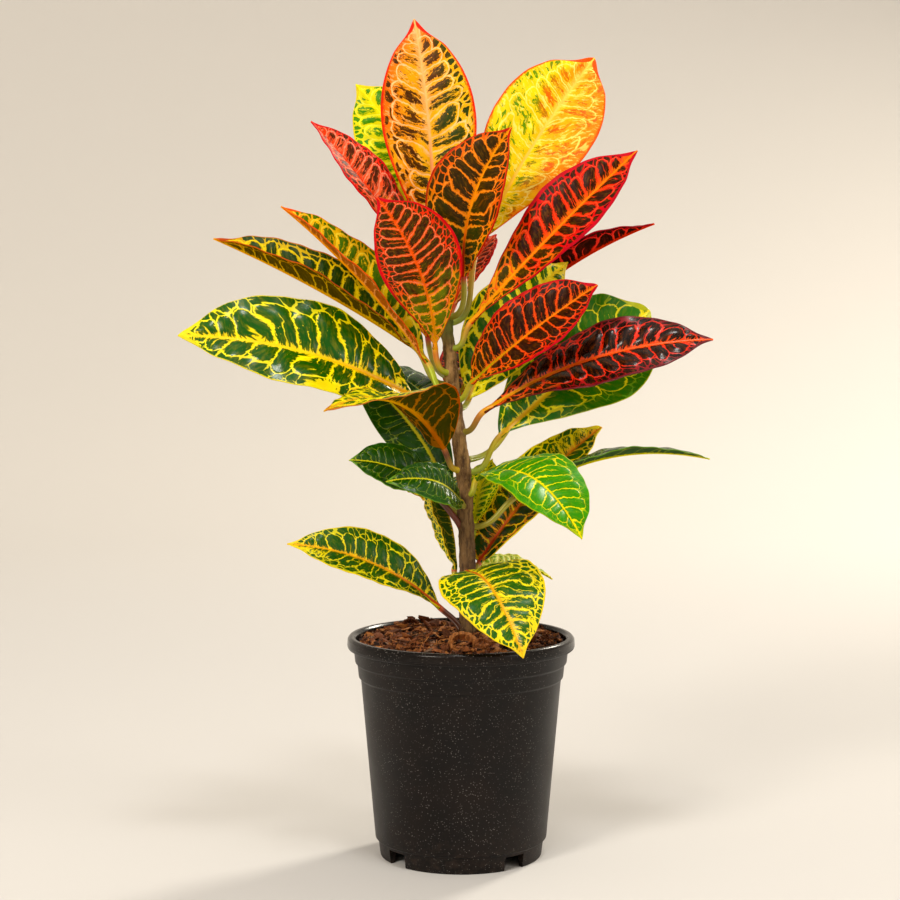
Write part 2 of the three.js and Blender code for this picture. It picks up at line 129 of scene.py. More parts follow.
@dataclass
class Leaf:
    """One leaf, node leaf_ and its name on the part. look names its colours, node is its height on the stem,
    base and tip are the blade's two ends, and faces is where the upper side looks. arch and sway bow the
    midrib, fold lifts the two halves in degrees and opens is the share of that lost towards the tip, skew
    moves the arch towards the base and twist turns the two ends in degrees. halves scales the halves'
    widths, widest and blunt shape the outline, wave is the ripples' height, rise is how steeply the petiole
    climbs from the stem, veins is the number of side veins on each half, quilt is how far the blade bulges
    between them and stalk gives the petiole colours of its own, at the stem and at the blade. A pair in
    fold, halves, widest or blunt holds the left half's value and the right half's."""
    name: str
    look: str
    node: float
    base: tuple
    tip: tuple
    width: float
    faces: tuple
    arch: float
    sway: float = 0
    fold: tuple = (10, 10)
    halves: object = 1
    widest: object = 0.5
    blunt: object = 0.86
    wave: float = 1
    skew: float = 0
    twist: tuple = (0, 0)
    opens: float = 0
    rise: float = 0
    veins: float = 12.5
    quilt: float = 0.75
    stalk: str = ""

    def vein_space(self):
        """The length of blade from one side vein to the next."""
        return math.dist(self.base, self.tip) / self.veins


LEAVES = [
    Leaf("crown_tall", "sunset", 399, (-20, 14, 443), (-35, 26, 623), 72, (0.05, -1, 0.15), arch=8, sway=4,
        fold=(14, 12), widest=0.58, wave=1.5, veins=13.5),
    Leaf("crown_gold", "gold", 398, (14, 20, 458), (101, 46, 597), 82, (-0.1, -1, 0.25), arch=6, sway=-3,
        fold=(10, 12), widest=0.6, blunt=0.75, wave=2),
    Leaf("crown_dark", "dusk", 402, (2, -8, 432), (36, -32, 538), 70, (-0.3, -1, 0.1), arch=6, sway=-9,
        fold=(14, 38), veins=11),
    Leaf("crown_crimson", "crimson", 379, (7, -9, 398), (127, -25, 522), 58, (-0.15, -0.85, 0.5), arch=8,
        sway=2, fold=(14, 26), widest=0.62, veins=15),
    Leaf("front_red", "red", 361, (-19, -12, 379), (-60, -48, 487), 68, (0.1, -1, 0.25), arch=8, sway=8,
        fold=(30, 10), widest=0.6, veins=16.5, stalk="a8b020 e07a2c"),
    Leaf("left_pink", "pink", 390, (-28, 4, 436), (-109, -14, 544), 50, (0.66, -0.54, 0.5), arch=4,
        fold=(18, 22), widest=0.55, veins=14),
    Leaf("back_lime", "lime", 389, (-18, 34, 452), (-80, 60, 579), 66, (0.1, -1, 0.2), arch=4, sway=10,
        fold=(12, 12), widest=0.6, wave=2.5),
    Leaf("left_orange", "orange", 346, (-25, -12, 369), (-130, -28, 482), 52, (0.6, -0.4, 0.75), arch=6,
        fold=(34, 30), wave=1.5, stalk="a8c020 bcc828"),
    Leaf("left_slender", "slender", 352, (-36, 0, 381), (-183, 6, 460), 58, (0.35, -0.4, 0.9), arch=4,
        fold=(44, 40)),
    Leaf("left_broad", "garden", 322, (-36, -6, 343), (-203, -46, 389), 84, (0.1, -0.8, 0.6), arch=14,
        sway=4, fold=(12, 12), halves=(0.84, 1), blunt=0.7, wave=2, veins=10.5, quilt=1.1),
    Leaf("right_slender", "wine", 361, (16, 70, 383), (143, 8, 471), 54, (-0.5, 0.25, 0.8), arch=10,
        fold=(34, 26)),
    Leaf("right_maroon", "maroon", 341, (8, -13, 354), (97, -50, 425), 57, (-0.15, -0.9, 0.45), arch=8,
        sway=1, fold=(12, 26), widest=(0.5, 0.6), blunt=(0.62, 0.8), veins=14),
    Leaf("right_striped", "striped", 334, (6, 14, 341), (80, 22, 443), 72, (-0.3, -1, 0.35), arch=8, sway=-6,
        halves=(0.9, 1), wave=1.5),
    Leaf("right_black", "black", 317, (17, -12, 333), (181, -40, 386), 60, (-0.1, -0.75, 0.65), arch=14,
        sway=-5, fold=(8, 12), halves=(0.93, 1), widest=0.6, wave=1.5, veins=13, quilt=1.4,
        stalk="8c7a18 c8781c"),
    Leaf("right_broad", "fresh", 287, (29, 0, 314), (141, 16, 407), 88, (-0.05, -1, 0.4), arch=6,
        fold=(8, 8), widest=(0.6, 0.66), blunt=(0.48, 0.75), wave=2.5, veins=10, stalk="98a81c d8c01c"),
    Leaf("left_arched", "arched", 289, (-13, -16, 306), (-95, -102, 338), 80, (0.05, 0.22, 0.95), arch=22,
        fold=(10, 50), halves=(1, 0.5), widest=0.4, skew=0.2, twist=(50, -15), opens=0.9, veins=10),
    Leaf("left_dark", "deep", 256, (-8, 1, 269), (-86, 29, 364), 46, (-0.35, -0.75, 0.55), arch=6, sway=10,
        fold=(10, 14)),
    Leaf("left_small", "deep", 247, (-17, -12, 269), (-82, -26, 298), 38, (-0.1, -0.75, 0.65), arch=8,
        sway=4, widest=0.55, rise=1.2, stalk="6c2412 4c1c10"),
    Leaf("front_small", "deep", 262, (0, -13, 266), (-54, -58, 285), 48, (-0.25, -0.85, 0.5), arch=16,
        halves=(0.85, 0.6), blunt=0.7, skew=-0.3),
    Leaf("right_drooping", "bright", 271, (12, -10, 283), (85, -76, 246), 70, (0.35, -0.62, 0.7), arch=22,
        sway=-4, fold=(8, 8), wave=1.5, skew=0.2),
    Leaf("right_far", "deep", 246, (40, 0, 268), (185, 2, 297), 44, (-0.2, 0.05, 1), arch=16, fold=(12, 12),
        widest=0.55, stalk="9c901c a8a02c"),
    Leaf("right_yellow_tip", "tipped", 203, (14, 12, 218), (109, 58, 317), 56, (-0.4, -0.8, 0.5), arch=6,
        sway=-4, fold=(12, 24), widest=(0.42, 0.5), blunt=(0.5, 0.8), rise=1.5),
    Leaf("low_left_upright", "net", 200, (-5, 8, 213), (-30, 14, 292), 38, (-0.97, -0.2, -0.1), arch=-8,
        fold=(40, 40), rise=1.5, stalk="9aa020 a8a828"),
    Leaf("low_left", "low", 170, (-16, -8, 187), (-127, -30, 237), 47, (0.3, -0.75, 0.6), arch=12, sway=5,
        fold=(18, 18), halves=(0.85, 1), widest=(0.58, 0.5), rise=1.5, stalk="4c2412 5c2414"),
    Leaf("low_front", "net", 204, (4, -17, 214), (43, -98, 165), 76, (0.05, -0.65, 0.85), arch=20,
        fold=(8, 8), widest=0.45, wave=1.5, skew=0.1, veins=11),
    Leaf("low_right_back", "pale", 192, (12, 22, 214), (71, 52, 200), 38, (0.2, -0.15, 1), arch=6,
        fold=(8, 8), rise=0.8),
    Leaf("low_back", "lime", 234, (10, 18, 246), (24, 38, 294), 32, (-0.4, -0.8, 0.4), arch=6),
    Leaf("back_left", "deep", 316, (-10, 30, 320), (-80, 92, 362), 54, (0.3, -0.2, 0.95), arch=12, wave=1.5),
    Leaf("back_young", "pink", 379, (-5, 46, 411), (28, 86, 466), 34, (-0.3, -0.7, 0.7), arch=6,
        fold=(20, 20), wave=0.5),
    Leaf("back_1", "garden", 262, (-14, 30, 300), (-66, 120, 326), 58, (0.2, -0.3, 0.95), arch=16, wave=1.5),
    Leaf("back_2", "fresh", 296, (38, 40, 320), (104, 124, 350), 56, (-0.2, -0.4, 0.9), arch=16, wave=1.5),
    Leaf("back_3", "maroon", 322, (-4, 30, 336), (38, 142, 366), 64, (-0.1, -0.5, 0.85), arch=18, wave=1.5),
    Leaf("back_4", "dusk", 358, (-25, 34, 386), (-56, 120, 470), 60, (0.2, -0.6, 0.7), arch=16, wave=1.5),
    Leaf("back_5", "net", 240, (2, 40, 250), (-30, 126, 254), 54, (-0.1, -0.2, 1), arch=16, wave=1.5),
]

BLADE_COLOURS = ("cells_base", "cells", "ground_base", "ground", "outer", "nerve", "midrib_base", "midrib",
                 "margin")
BLADE_NUMBERS = ("band", "ragged", "soft", "fade", "tip_fade", "side_fade", "edge_fade", "patch", "pale",
                 "rim", "net", "turn", "side_turn")


@dataclass
class Look:
    """A leaf's colours, as sRGB hex. upper holds the colours named in BLADE_COLOURS, where _base marks the
    colour near the blade's base: cells are the patches between the veins, ground is the band along each
    vein, outer is the ground near the margin and nerve is the thin line in the band. petiole holds the
    colours at the stem and at the blade, and under the underside's cells, ground and margin. band is the
    band's half width as a share of the space between two veins, ragged is how torn the edges of the cells
    are and soft how blurred. fade is the share of cells lost in the ground, with more lost by tip_fade
    towards the tip, by side_fade on the left half, by edge_fade towards the margin and by patch in one spot
    at the left margin. pale is the share of pale streaks in the ground and rim the width of the coloured
    margin. net is the half width of the lines between the small round cells at the margin, and below zero
    those cells run into one. turn is where the base's colours end, and side_turn moves that back on the
    right half. rough is the upper side's roughness."""
    upper: str
    petiole: str
    under: str
    band: float = 0.1
    ragged: float = 0.4
    soft: float = 0.05
    fade: float = 0.3
    tip_fade: float = 0
    side_fade: float = 0
    edge_fade: float = 0
    patch: float = 0
    pale: float = 0.15
    rim: float = 0.05
    net: float = 0.06
    turn: float = 0.3
    side_turn: float = 0
    rough: float = 0.3

    def colours(self):
        """The upper side's colours by name."""
        return dict(zip(BLADE_COLOURS, self.upper.split()))

    def underside(self):
        """The look of the plainer underside, with narrower bands and the lines of its margin's net closed."""
        cells, ground, margin = self.under.split()
        midrib = self.upper.split()[-3:-1]
        return replace(self, upper=" ".join((cells, cells, ground, ground, margin, ground, *midrib, margin)),
                       band=self.band * 0.3, ragged=self.ragged * 0.6, fade=self.fade * 0.8, net=-0.06)


LOOKS = {
    "sunset": Look("26380a 4a2608 f0b010 f4a028 ec6c18 fdcc94 c8281c f8b878 dc2412", "8c9a1c b8a01c",
        "8a5420 c8742a d8602a", band=0.12, ragged=0.6, soft=0.06, fade=0.385, tip_fade=0.1, side_fade=0.055,
        pale=0.45, rim=0.09, net=0.1, turn=0.5, side_turn=-0.5, rough=0.38),
    "gold": Look("5a8c0c e4601a f2cc10 f6ac28 f08a34 fbe880 e8b43c f8cc64 ee5418", "8c9a1c d8a020",
        "a8701c d8902a e0702a", band=0.14, ragged=0.7, soft=0.1, fade=0.475, side_fade=-0.01, edge_fade=0.07,
        pale=0.7, rim=0.07, net=0.12, turn=0.6, side_turn=0.5, rough=0.36),
    "dusk": Look("26340a 30220a dc9418 ee8630 de5a1c f4964c c42c1c f09a2c b0241a", "8c8a1c a8a01c",
        "4a2a12 a85a24 c8502a", band=0.055, pale=0.3, rim=0.07, net=0.04, turn=0.35, rough=0.36),
    "crimson": Look("3c380a 2a0c06 f09a18 e03c28 c41826 f0604a f0a028 f58a38 b4081e", "8c9a1c c8901c",
        "5a1a16 b03a30 b81c2c", band=0.085, ragged=0.5, fade=0.36, pale=0.4, rim=0.12, net=0.05, rough=0.34),
    "red": Look("5c6c0a 361808 f0a81c ea5c2c da3020 f48c68 f0a02c f0622c c0121e", "a8b020 c8b020",
        "5a2a1a b0503a b8242c", band=0.085, ragged=0.45, fade=0.34, pale=0.5, rim=0.09, net=0.05, turn=0.36,
        rough=0.45),
    "pink": Look("5a4814 48180c e8a04c ee6848 e43c38 f5a080 e0502c e8503c c4141e", "9aa020 b8a020",
        "6a2a20 b0503a b8242c", band=0.12, ragged=0.6, soft=0.07, fade=0.43, pale=0.5, rim=0.08, rough=0.42),
    "lime": Look("2c7a0c 3c8a10 dcdc1a e4e020 dcd822 f2f460 d8dc30 f0e63c dcc81c", "8c9a1c a8b020",
        "5a7a20 a8b030 c8b02c", band=0.15, ragged=0.5, soft=0.07, fade=0.43, net=0.08),
    "orange": Look("2c640a 40680c e4cc1c ecb81c e8b024 f6da58 d8a83c e8942c e8582c", "a8c020 c0c828",
        "a8602c ec9c5c e87040", band=0.12, fade=0.39, turn=0.35, rough=0.32),
    "slender": Look("1c4008 1a3a08 c8b818 d8c01c c8a81c e8d23c b8902c d89a24 b0481c", "8c8a1c a8a020",
        "4c3e06 c8a020 c8781c", band=0.08, fade=0.34, net=-0.02),
    "garden": Look("104c04 125202 f2cc0c f2dc10 d8d414 f8ec40 e8a81c f6d41c e0d01c", "8c9a1c d8b020",
        "3c5a20 b8b040 c8a040", band=0.035, patch=0.35, rim=0.02, net=-0.04, rough=0.17),
    "arched": Look("1e5a0a 2a600a d4c81c e8d820 e0d01c f0e040 b8641c d8a020 b8702c", "c8a81c 6c2210",
        "3a3a0c a0641c b8502c", ragged=0.5, fade=0.42, rough=0.28),
    "deep": Look("143c06 184606 5c8414 74921c 245a0c 8c9c24 a8902c d8d01c 5c8a18", "8c7a1c 9c9a1c",
        "36502c 84903c 88843c", band=0.0, ragged=0.2, rim=0.02, net=-0.07, rough=0.22),
    "fresh": Look("1c6806 267408 d8cc18 e8d81c 50981a f2e83c d8a820 f0d81c b0b81c", "a8b01c d8c01c",
        "3c6424 98a43c a8a43c", band=0.02, ragged=0.25, fade=0.31, rim=0.02, net=-0.06, rough=0.2),
    "bright": Look("287a06 348c08 d8cc18 e8d81c 50981a ece43c d8b820 f4dc1c a0b41c", "a8b01c d8c01c",
        "4c7424 98a43c a8a43c", band=0.02, ragged=0.2, fade=0.31, rim=0.02, net=-0.06),
    "low": Look("124a08 145206 e0cc1c f0d814 c8c41c f8e848 c8501c f0b024 ecd01c", "8c3c18 c88c1c",
        "3c5a20 b0a838 d0a840", band=0.02, tip_fade=0.1, side_fade=0.1, net=-0.01, turn=0.25, rough=0.26),
    "net": Look("14540a 185a0a e0cc1c f0d814 f2dc1c f8e848 c8501c f0b024 ecc81c", "8c3c18 c88c1c",
        "3c5a20 b0a838 d0a840", band=0.06, ragged=0.55, fade=0.365, side_fade=0.06, edge_fade=0.04, net=0.05,
        turn=0.25, rough=0.28),
    "tipped": Look("103c08 1e5c0a c8781c e4cc18 ecd81c f2dc40 c8401c e8902c f0d41c", "a8901c b8a01c",
        "3c5a20 b0a838 d0a840", band=0.05, ragged=0.5, fade=0.32, tip_fade=0.12, side_fade=0.08, net=0.04,
        turn=0.5, side_turn=-0.35, rough=0.26),
    "striped": Look("146006 166806 f0e014 fcf018 fcec18 fcf860 d8a81c f4dc1c e0cc1c", "8c9a1c b8b020",
        "3c5a20 b8b040 c8b040", band=0.12, fade=0.2, rough=0.26),
    "maroon": Look("2e2206 240c06 d8801c dc4a28 c4281c ec6844 a89a1c f0801c b00c1e", "a0a81c b8a01c",
        "4a1a14 a83a2c b01c28", band=0.055, ragged=0.45, pale=0.35, rim=0.08, net=0.045, turn=0.24,
        rough=0.32),
    "black": Look("1c1a06 120604 e0701c e8301c 7c1018 e83c28 e8a01c ee5a1c 5c0812", "8c7c18 b87c1c",
        "3c1416 902a2c 8c1824", band=0.03, ragged=0.35, rim=0.07, net=0.03, turn=0.18, rough=0.17),
    "wine": Look("2c180a 280c09 c8401c cc2c28 b81c26 e04a44 c8401c d03a24 98101e", "8c6a1c a03c1c",
        "2c120a f05048 a8182a", band=0.13, ragged=0.25, fade=0.28, rim=0.07, net=0.02, turn=0.15,
        rough=0.28),
    "pale": Look("6c9a1c 84a41c d8dc5c e4e468 e8e040 f2f0a0 c8d040 e8e060 e8d838", "a8a83c c8c850",
        "a8b838 dcd83c e8d020", band=0.12, ragged=0.5, fade=0.46, rough=0.34),
}


# Formulas
def smoothstep(x, low, high):
    x = np.clip((x - low) / (high - low), 0, 1)
    return x * x * (3 - 2 * x)


def mix(a, b, share):
    return a + (b - a) * share


def unit(v):
    return v / np.linalg.norm(v, axis=-1, keepdims=True)


def across(v, direction):
    """v with its share along direction taken out, as a unit vector."""
    return unit(v - direction * np.sum(v * direction, axis=-1, keepdims=True))


def draw(seed):
    """A repeatable random number between 0 and 1 for each whole number."""
    x = math.sin(seed * 127.1 + 311.7) * 43758.5453
    return x - math.floor(x)


def circle(sides):
    """The (x, y) of points on a circle of radius 1, anticlockwise from +X."""
    return [(math.cos(FULL_TURN * i / sides), math.sin(FULL_TURN * i / sides)) for i in range(sides)]


def bezier(points, t):
    """Points on a cubic Bezier curve, and the directions in which it leaves them."""
    p, t = np.array(points, float), t[:, None]
    left = 1 - t
    places = left ** 3 * p[0] + 3 * left ** 2 * t * p[1] + 3 * left * t ** 2 * p[2] + t ** 3 * p[3]
    return places, unit(left ** 2 * (p[1] - p[0]) + 2 * left * t * (p[2] - p[1]) + t ** 2 * (p[3] - p[2]))


def turned(v, axis, angle):
    """Vectors v turned about the unit vectors axis, by Rodrigues' formula."""
    cos, sin = np.cos(angle)[:, None], np.sin(angle)[:, None]
    return v * cos + np.cross(axis, v) * sin + axis * np.sum(axis * v, axis=1, keepdims=True) * (1 - cos)


def linear(hex_colour):
    """A linear RGBA colour from an sRGB hex string."""
    channels = [int(hex_colour[i:i + 2], 16) / 255 for i in (0, 2, 4)]
    return (*[c / 12.92 if c <= 0.04045 else ((c + 0.055) / 1.055) ** 2.4 for c in channels], 1)


# Meshes
def add_object(name, data):
    made = bpy.data.objects.new(name, data)
    bpy.context.collection.objects.link(made)
    return made


def add_piece(name, points, faces, materials, uv_maps=(), face_slots=None, smooth=True):
    """A mesh object from points in millimetres, with named UV maps that have a row for each face corner."""
    mesh = bpy.data.meshes.new(name)
    mesh.from_pydata((np.asarray(points) * MM).tolist(), [], faces)
    for map_name, corners in uv_maps:
        mesh.uv_layers.new(name=map_name).data.foreach_set("uv", np.asarray(corners, float).ravel())
    for material in materials:
        mesh.materials.append(material)
    if face_slots is not None:
        mesh.polygons.foreach_set("material_index", face_slots)
    mesh.polygons.foreach_set("use_smooth", [smooth] * len(mesh.polygons))
    mesh.update()
    return add_object(name, mesh)


def ring_faces(rings, sides):
    """The faces of a closed skin over rings that turn anticlockwise seen from above, from the lowest to the
    highest."""
    steps = [(i, (i + 1) % sides) for i in range(sides)]
    faces = [(k * sides + i, k * sides + j, (k + 1) * sides + j, (k + 1) * sides + i)
             for k in range(rings - 1) for i, j in steps]
    return faces + [list(range(sides))[::-1], list(range((rings - 1) * sides, rings * sides))]


def lathe(name, outline, steps):
    """A smooth mesh object turned from (r, z) points in millimetres about the upright axis."""
    body = bmesh.new()
    ring = [body.verts.new((r * MM, 0, z * MM)) for r, z in outline]
    edges = [body.edges.new(ends) for ends in zip(ring[:-1], ring[1:])]
    bmesh.ops.spin(body, geom=ring + edges, cent=(0, 0, 0), axis=(0, 0, 1), angle=FULL_TURN, steps=steps,
                   use_merge=True)
    bmesh.ops.remove_doubles(body, verts=body.verts, dist=1e-6)
    bmesh.ops.recalc_face_normals(body, faces=body.faces)
    mesh = bpy.data.meshes.new(name)
    body.to_mesh(mesh)
    body.free()
    mesh.polygons.foreach_set("use_smooth", [True] * len(mesh.polygons))
    return add_object(name, mesh)


def claim(piece, node):
    """Puts a piece in the root body and hides the node of the part that it stands for."""
    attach(piece, "root")
    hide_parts(node)


# Sockets of shader nodes that are picked by their order
NOISE_COLOUR = 1
LENGTH_VALUE = 1
OBJECT_PLACE = 3
MIX_SHARE, MIX_UNDER, MIX_OVER, MIX_RESULT = 0, 6, 7, 2


class Wire:
    """A node's output that can be used in sums like a number."""

    def __init__(self, shader, socket):
        self.shader = shader
        self.socket = socket

    def __add__(self, other):
        return self.shader.math("ADD", self, other)

    def __sub__(self, other):
        return self.shader.math("SUBTRACT", self, other)

    def __rsub__(self, other):
        return self.shader.math("SUBTRACT", other, self)

    def __mul__(self, other):
        return self.shader.math("MULTIPLY", self, other)

    def __truediv__(self, other):
        return self.shader.math("DIVIDE", self, other)

    def __abs__(self):
        return self.shader.math("ABSOLUTE", self)


class Shader:
    """Short calls that add nodes to a material or a group and return their outputs as wires."""

    def __init__(self, tree):
        self.tree = tree

    def put(self, socket, value):
        """Sets an input to a number or a hex colour, or links a wire to it."""
        if isinstance(value, Wire):
            self.tree.links.new(value.socket, socket)
        else:
            socket.default_value = linear(value) if isinstance(value, str) else value

    def node(self, kind, inputs=(), **settings):
        """A new node's outputs. inputs holds values for its sockets, in order or by their keys."""
        made = self.tree.nodes.new(kind)
        for key, value in settings.items():
            setattr(made, key, value)
        for key, value in inputs.items() if isinstance(inputs, dict) else enumerate(inputs):
            self.put(made.inputs[key], value)
        return [Wire(self, output) for output in made.outputs]

    def math(self, operation, *values):
        return self.node("ShaderNodeMath", values, operation=operation)[0]

    def smooth(self, value, low, high, start=0, end=1):
        """start below low, end above high and a smooth step between."""
        inputs = (value, low, high, start, end)
        return self.node("ShaderNodeMapRange", inputs, interpolation_type="SMOOTHSTEP")[0]

    def layers(self, colour, *coats):
        """A colour with others laid over it in turn, each given as (its share, the colour)."""
        for share, coat in coats:
            inputs = {MIX_SHARE: share, MIX_UNDER: colour, MIX_OVER: coat}
            colour = self.node("ShaderNodeMix", inputs, data_type="RGBA")[MIX_RESULT]
        return colour

    def vector(self, x, y, z=0):
        return self.node("ShaderNodeCombineXYZ", (x, y, z))[0]

    def split(self, vector):
        return self.node("ShaderNodeSeparateXYZ", (vector,))

    def uv(self, name):
        """The two numbers of a UV map."""
        return self.split(self.node("ShaderNodeUVMap", uv_map=name)[0])[:2]

    def noise(self, vector, scale, detail=2, rough=0.5, output=0):
        inputs = {"Vector": vector, "Scale": scale, "Detail": detail, "Roughness": rough}
        return self.node("ShaderNodeTexNoise", inputs)[output]

    def voronoi(self, vector, scale, feature="F1", dimensions="3D"):
        inputs = {"Vector": vector, "Scale": scale}
        return self.node("ShaderNodeTexVoronoi", inputs, feature=feature, voronoi_dimensions=dimensions)[0]

    def place(self, *stretch):
        """The object's own coordinates in metres, each multiplied by its number where they are given."""
        own = self.node("ShaderNodeTexCoord")[OBJECT_PLACE]
        return self.node("ShaderNodeMapping", {"Vector": own, "Scale": stretch})[0] if stretch else own


class Surface(Shader):
    """The nodes of a Principled material, with constants on the Principled node's own sockets."""

    def __init__(self, name, **constants):
        self.material = bpy.data.materials.new(name)
        self.material.use_nodes = True
        super().__init__(self.material.node_tree)
        self.principled = self.tree.nodes["Principled BSDF"].inputs
        for key, value in constants.items():
            self.principled[key.replace("_", " ")].default_value = value

    def finish(self, colour, rough, height, strength, distance_mm):
        """Feeds the colour, the roughness and a bump to the Principled node and returns the material."""
        inputs = {"Height": height, "Strength": strength, "Distance": distance_mm * MM}
        bump = self.node("ShaderNodeBump", inputs)[0]
        for key, value in (("Base Color", colour), ("Roughness", rough), ("Normal", bump)):
            self.put(self.principled[key], value)
        return self.material


def off_middle(value, share):
    """A noise between 0 and 1 turned into one about 0."""
    return (value - 0.5) * share


def empty_blade_group():
    tree = bpy.data.node_groups.new("croton_blade", "ShaderNodeTree")
    sockets = [(name, "INPUT", "Color") for name in BLADE_COLOURS]
    sockets += [(name, "INPUT", "Float") for name in BLADE_NUMBERS]
    sockets += [("colour", "OUTPUT", "Color"), ("height", "OUTPUT", "Float"), ("cell", "OUTPUT", "Float")]
    for name, in_out, kind in sockets:
        tree.interface.new_socket(name=name, in_out=in_out, socket_type=f"NodeSocket{kind}")
    return tree


def blade_group():
    """The markings of a blade: side veins that arch into loops before the margin, cells of the dark colour
    between them, shorter veins that split some cells, small round cells outside the loops, the midrib and
    the margin.

    The UV map "cells" counts side veins along the blade and gives the distance from the midrib in the same
    unit. The UV map "blade" runs from 0 at the base to 1 at the tip, and from -1 to 1 across."""
    tree = empty_blade_group()
    s = Shader(tree)
    given = SimpleNamespace(**dict(zip(BLADE_COLOURS + BLADE_NUMBERS, s.node("NodeGroupInput"))))
    count, out = s.uv("cells")
    along, over = s.uv("blade")
    reach = abs(over)
    place = s.vector(count, out)

    # The place on the blade bent by noise, and the streaks and teeth that tear the edges
    bend = s.node("ShaderNodeSeparateColor", (s.noise(place, 2.4, output=NOISE_COLOUR),))
    count_bent = count + off_middle(bend[0], BEND)
    out_bent = abs(out + off_middle(bend[1], BEND))

    def grain(count_scale, out_scale, detail, rough):
        return s.noise(s.vector(count_bent * count_scale, out_bent * out_scale), 1, detail, rough)

    streaks = grain(9, 2.6, 3, 0.6)
    teeth = s.noise(place, 10, 2, 0.6)
    torn = (off_middle(streaks, TEAR) + off_middle(teeth, TEAR)) * given.ragged

    # The depth inside a cell, from 0 at the side veins and their loops
    random = s.node("ShaderNodeTexWhiteNoise", {"W": s.math("FLOOR", count_bent)}, noise_dimensions="1D")
    other = s.node("ShaderNodeSeparateColor", (random[NOISE_COLOUR],))
    from_vein = s.math("FRACT", count_bent) - 0.5
    half_width = abs(out) / s.math("MAXIMUM", reach, 0.02)
    loop = s.smooth(random[0], 0, 1, LOOP_PLACE - 0.1, LOOP_PLACE + 0.06) * half_width
    past = s.math("MAXIMUM", 0.5 - (loop - out_bent), 0)
    depth = 0.5 - s.math("SQRT", from_vein * from_vein + past * past)

    # The cells as fingers: off the bands and the midrib, with ends like a comb's, some split by a short vein
    band = given.band * s.smooth(reach, 0.05, 0.85, 1.6, 0.65) + torn
    from_rib = abs(out) - s.smooth(along, 0, 1, 0.1, 0.035)
    rib_zone = from_rib - given.band * 0.9 + off_middle(streaks, 2.2) * given.ragged
    comb_end = out_bent / s.math("MAXIMUM", loop, 0.3) * 0.16 + 0.6 + (0.45 - given.ragged) * 0.4
    comb = s.smooth(grain(6.5, 0.9, 2, 0.5) + torn * 0.4 - comb_end, 0, 0.05, 1, 0)
    split = s.smooth(abs(from_vein + off_middle(streaks, 0.2)), 0.012, 0.05, 1, 0)
    split_end = half_width * s.smooth(other[0], 0, 1, 0.1, 0.7)
    split = split * s.smooth(other[1], 0.45, 0.5) * s.smooth(out_bent - split_end, -0.3, 0.05, 1, 0)
    finger = s.smooth(depth, band, band + given.soft) * s.smooth(rib_zone, 0, 0.08) * comb * (1 - split * 0.9)

    # The net of small round cells between the loops and the margin
    net_place = s.vector(count_bent * 1.15, out_bent)
    corner = s.math("MAXIMUM", s.voronoi(net_place, NET_SCALE, "F1", "2D") - 0.4, 0)
    net_line = s.voronoi(net_place, NET_SCALE, "DISTANCE_TO_EDGE", "2D") - corner * 0.35
    net_band = given.net * s.smooth(reach, *NET_ZONE) + torn * 0.25
    net_band = net_band + given.band * s.smooth(reach, *NET_ZONE, 0.8, 0)
    edge = (1 - (reach + torn * 0.2 + s.smooth(along, 0.9, 1.0, 0, 0.9))) / given.rim
    beyond_loops = s.smooth(depth + given.band * 0.5, -0.03, 0.01, 1, 0)
    net = s.smooth(net_line, net_band, net_band + 0.05) * beyond_loops * s.smooth(edge, 0.6, 1.0)

    # Cells lost in the ground, and dots of ground in the cells that are left
    cloud = s.noise(place, 0.8)
    broken = grain(7.5, 2.6, 4, 0.7)
    spot = s.smooth(abs(along - PATCH_PLACE), 0.04, 0.16, 1, 0) * s.smooth(over * -1, 0.3, 0.95)
    lost = given.fade + given.tip_fade * along + given.edge_fade * s.smooth(reach, 0.3, 0.9)
    lost = lost - given.side_fade * s.math("SIGN", over) * along + given.patch * spot
    present = s.smooth(cloud * 0.4 + broken * 0.6, lost - 0.02, lost + (given.soft * 0.4 + 0.01))
    net_present = s.smooth(cloud * 0.7 + teeth * 0.3, lost - 0.05, lost - 0.01)
    dots = s.smooth(s.voronoi(s.vector(count * 1.5, out), 4.6), 0.09, 0.16, 1, 0)
    dots = dots * s.smooth(s.noise(place, 2.3, 1), 0.56, 0.62)
    cell = s.math("MAXIMUM", finger * present, net * net_present) * (1 - dots * 0.8)

    # Colours
    base_ends = s.smooth(along + off_middle(cloud, 0.7) + given.side_turn * over - given.turn, -0.16, 0.16)
    tint = s.noise(s.vector(count * 3, out), 2.2, 3, 0.6)
    cells = s.layers(given.cells_base, (base_ends, given.cells),
                     (s.smooth(tint, 0.42, 0.8, 0, 0.15), given.ground_base),
                     (s.smooth(broken, 0.3, 0.5, 0.45, 0), given.cells_base))
    ground = s.layers(given.ground, (s.smooth(reach, 0.3, 0.95) * (1 - spot), given.outer),
                      (s.smooth(along, 0.8, 1, 0, 0.7), given.margin),
                      (s.smooth(out_bent, 0.05, 0.5, 0.75, 0), given.midrib))
    nerve = s.smooth(abs(depth) + torn * 0.2, 0.012, 0.055, 0.85, 0)
    rib_colour = s.layers(given.midrib_base, (s.smooth(along, 0.05, 0.55), given.midrib))
    colour = s.layers(given.ground_base, (base_ends, ground),
                      (s.smooth(grain(8, 2, 3, 0.6), 0.5, 0.62) * given.pale, given.nerve),
                      (nerve, given.nerve), (cell, cells), (s.smooth(edge, 0.2, 1.0, 1, 0), given.margin),
                      (s.smooth(from_rib + torn * 0.1, 0, 0.03, 1, 0), rib_colour))
    shade = s.smooth(s.noise(place, 1.1, 3), 0.25, 0.75, 0.86, 1.1)
    shaded = s.node("ShaderNodeVectorMath", (colour, s.vector(shade, shade, shade)), operation="MULTIPLY")[0]
    vivid = s.node("ShaderNodeHueSaturation", {"Saturation": 1.06, "Color": shaded})[0]
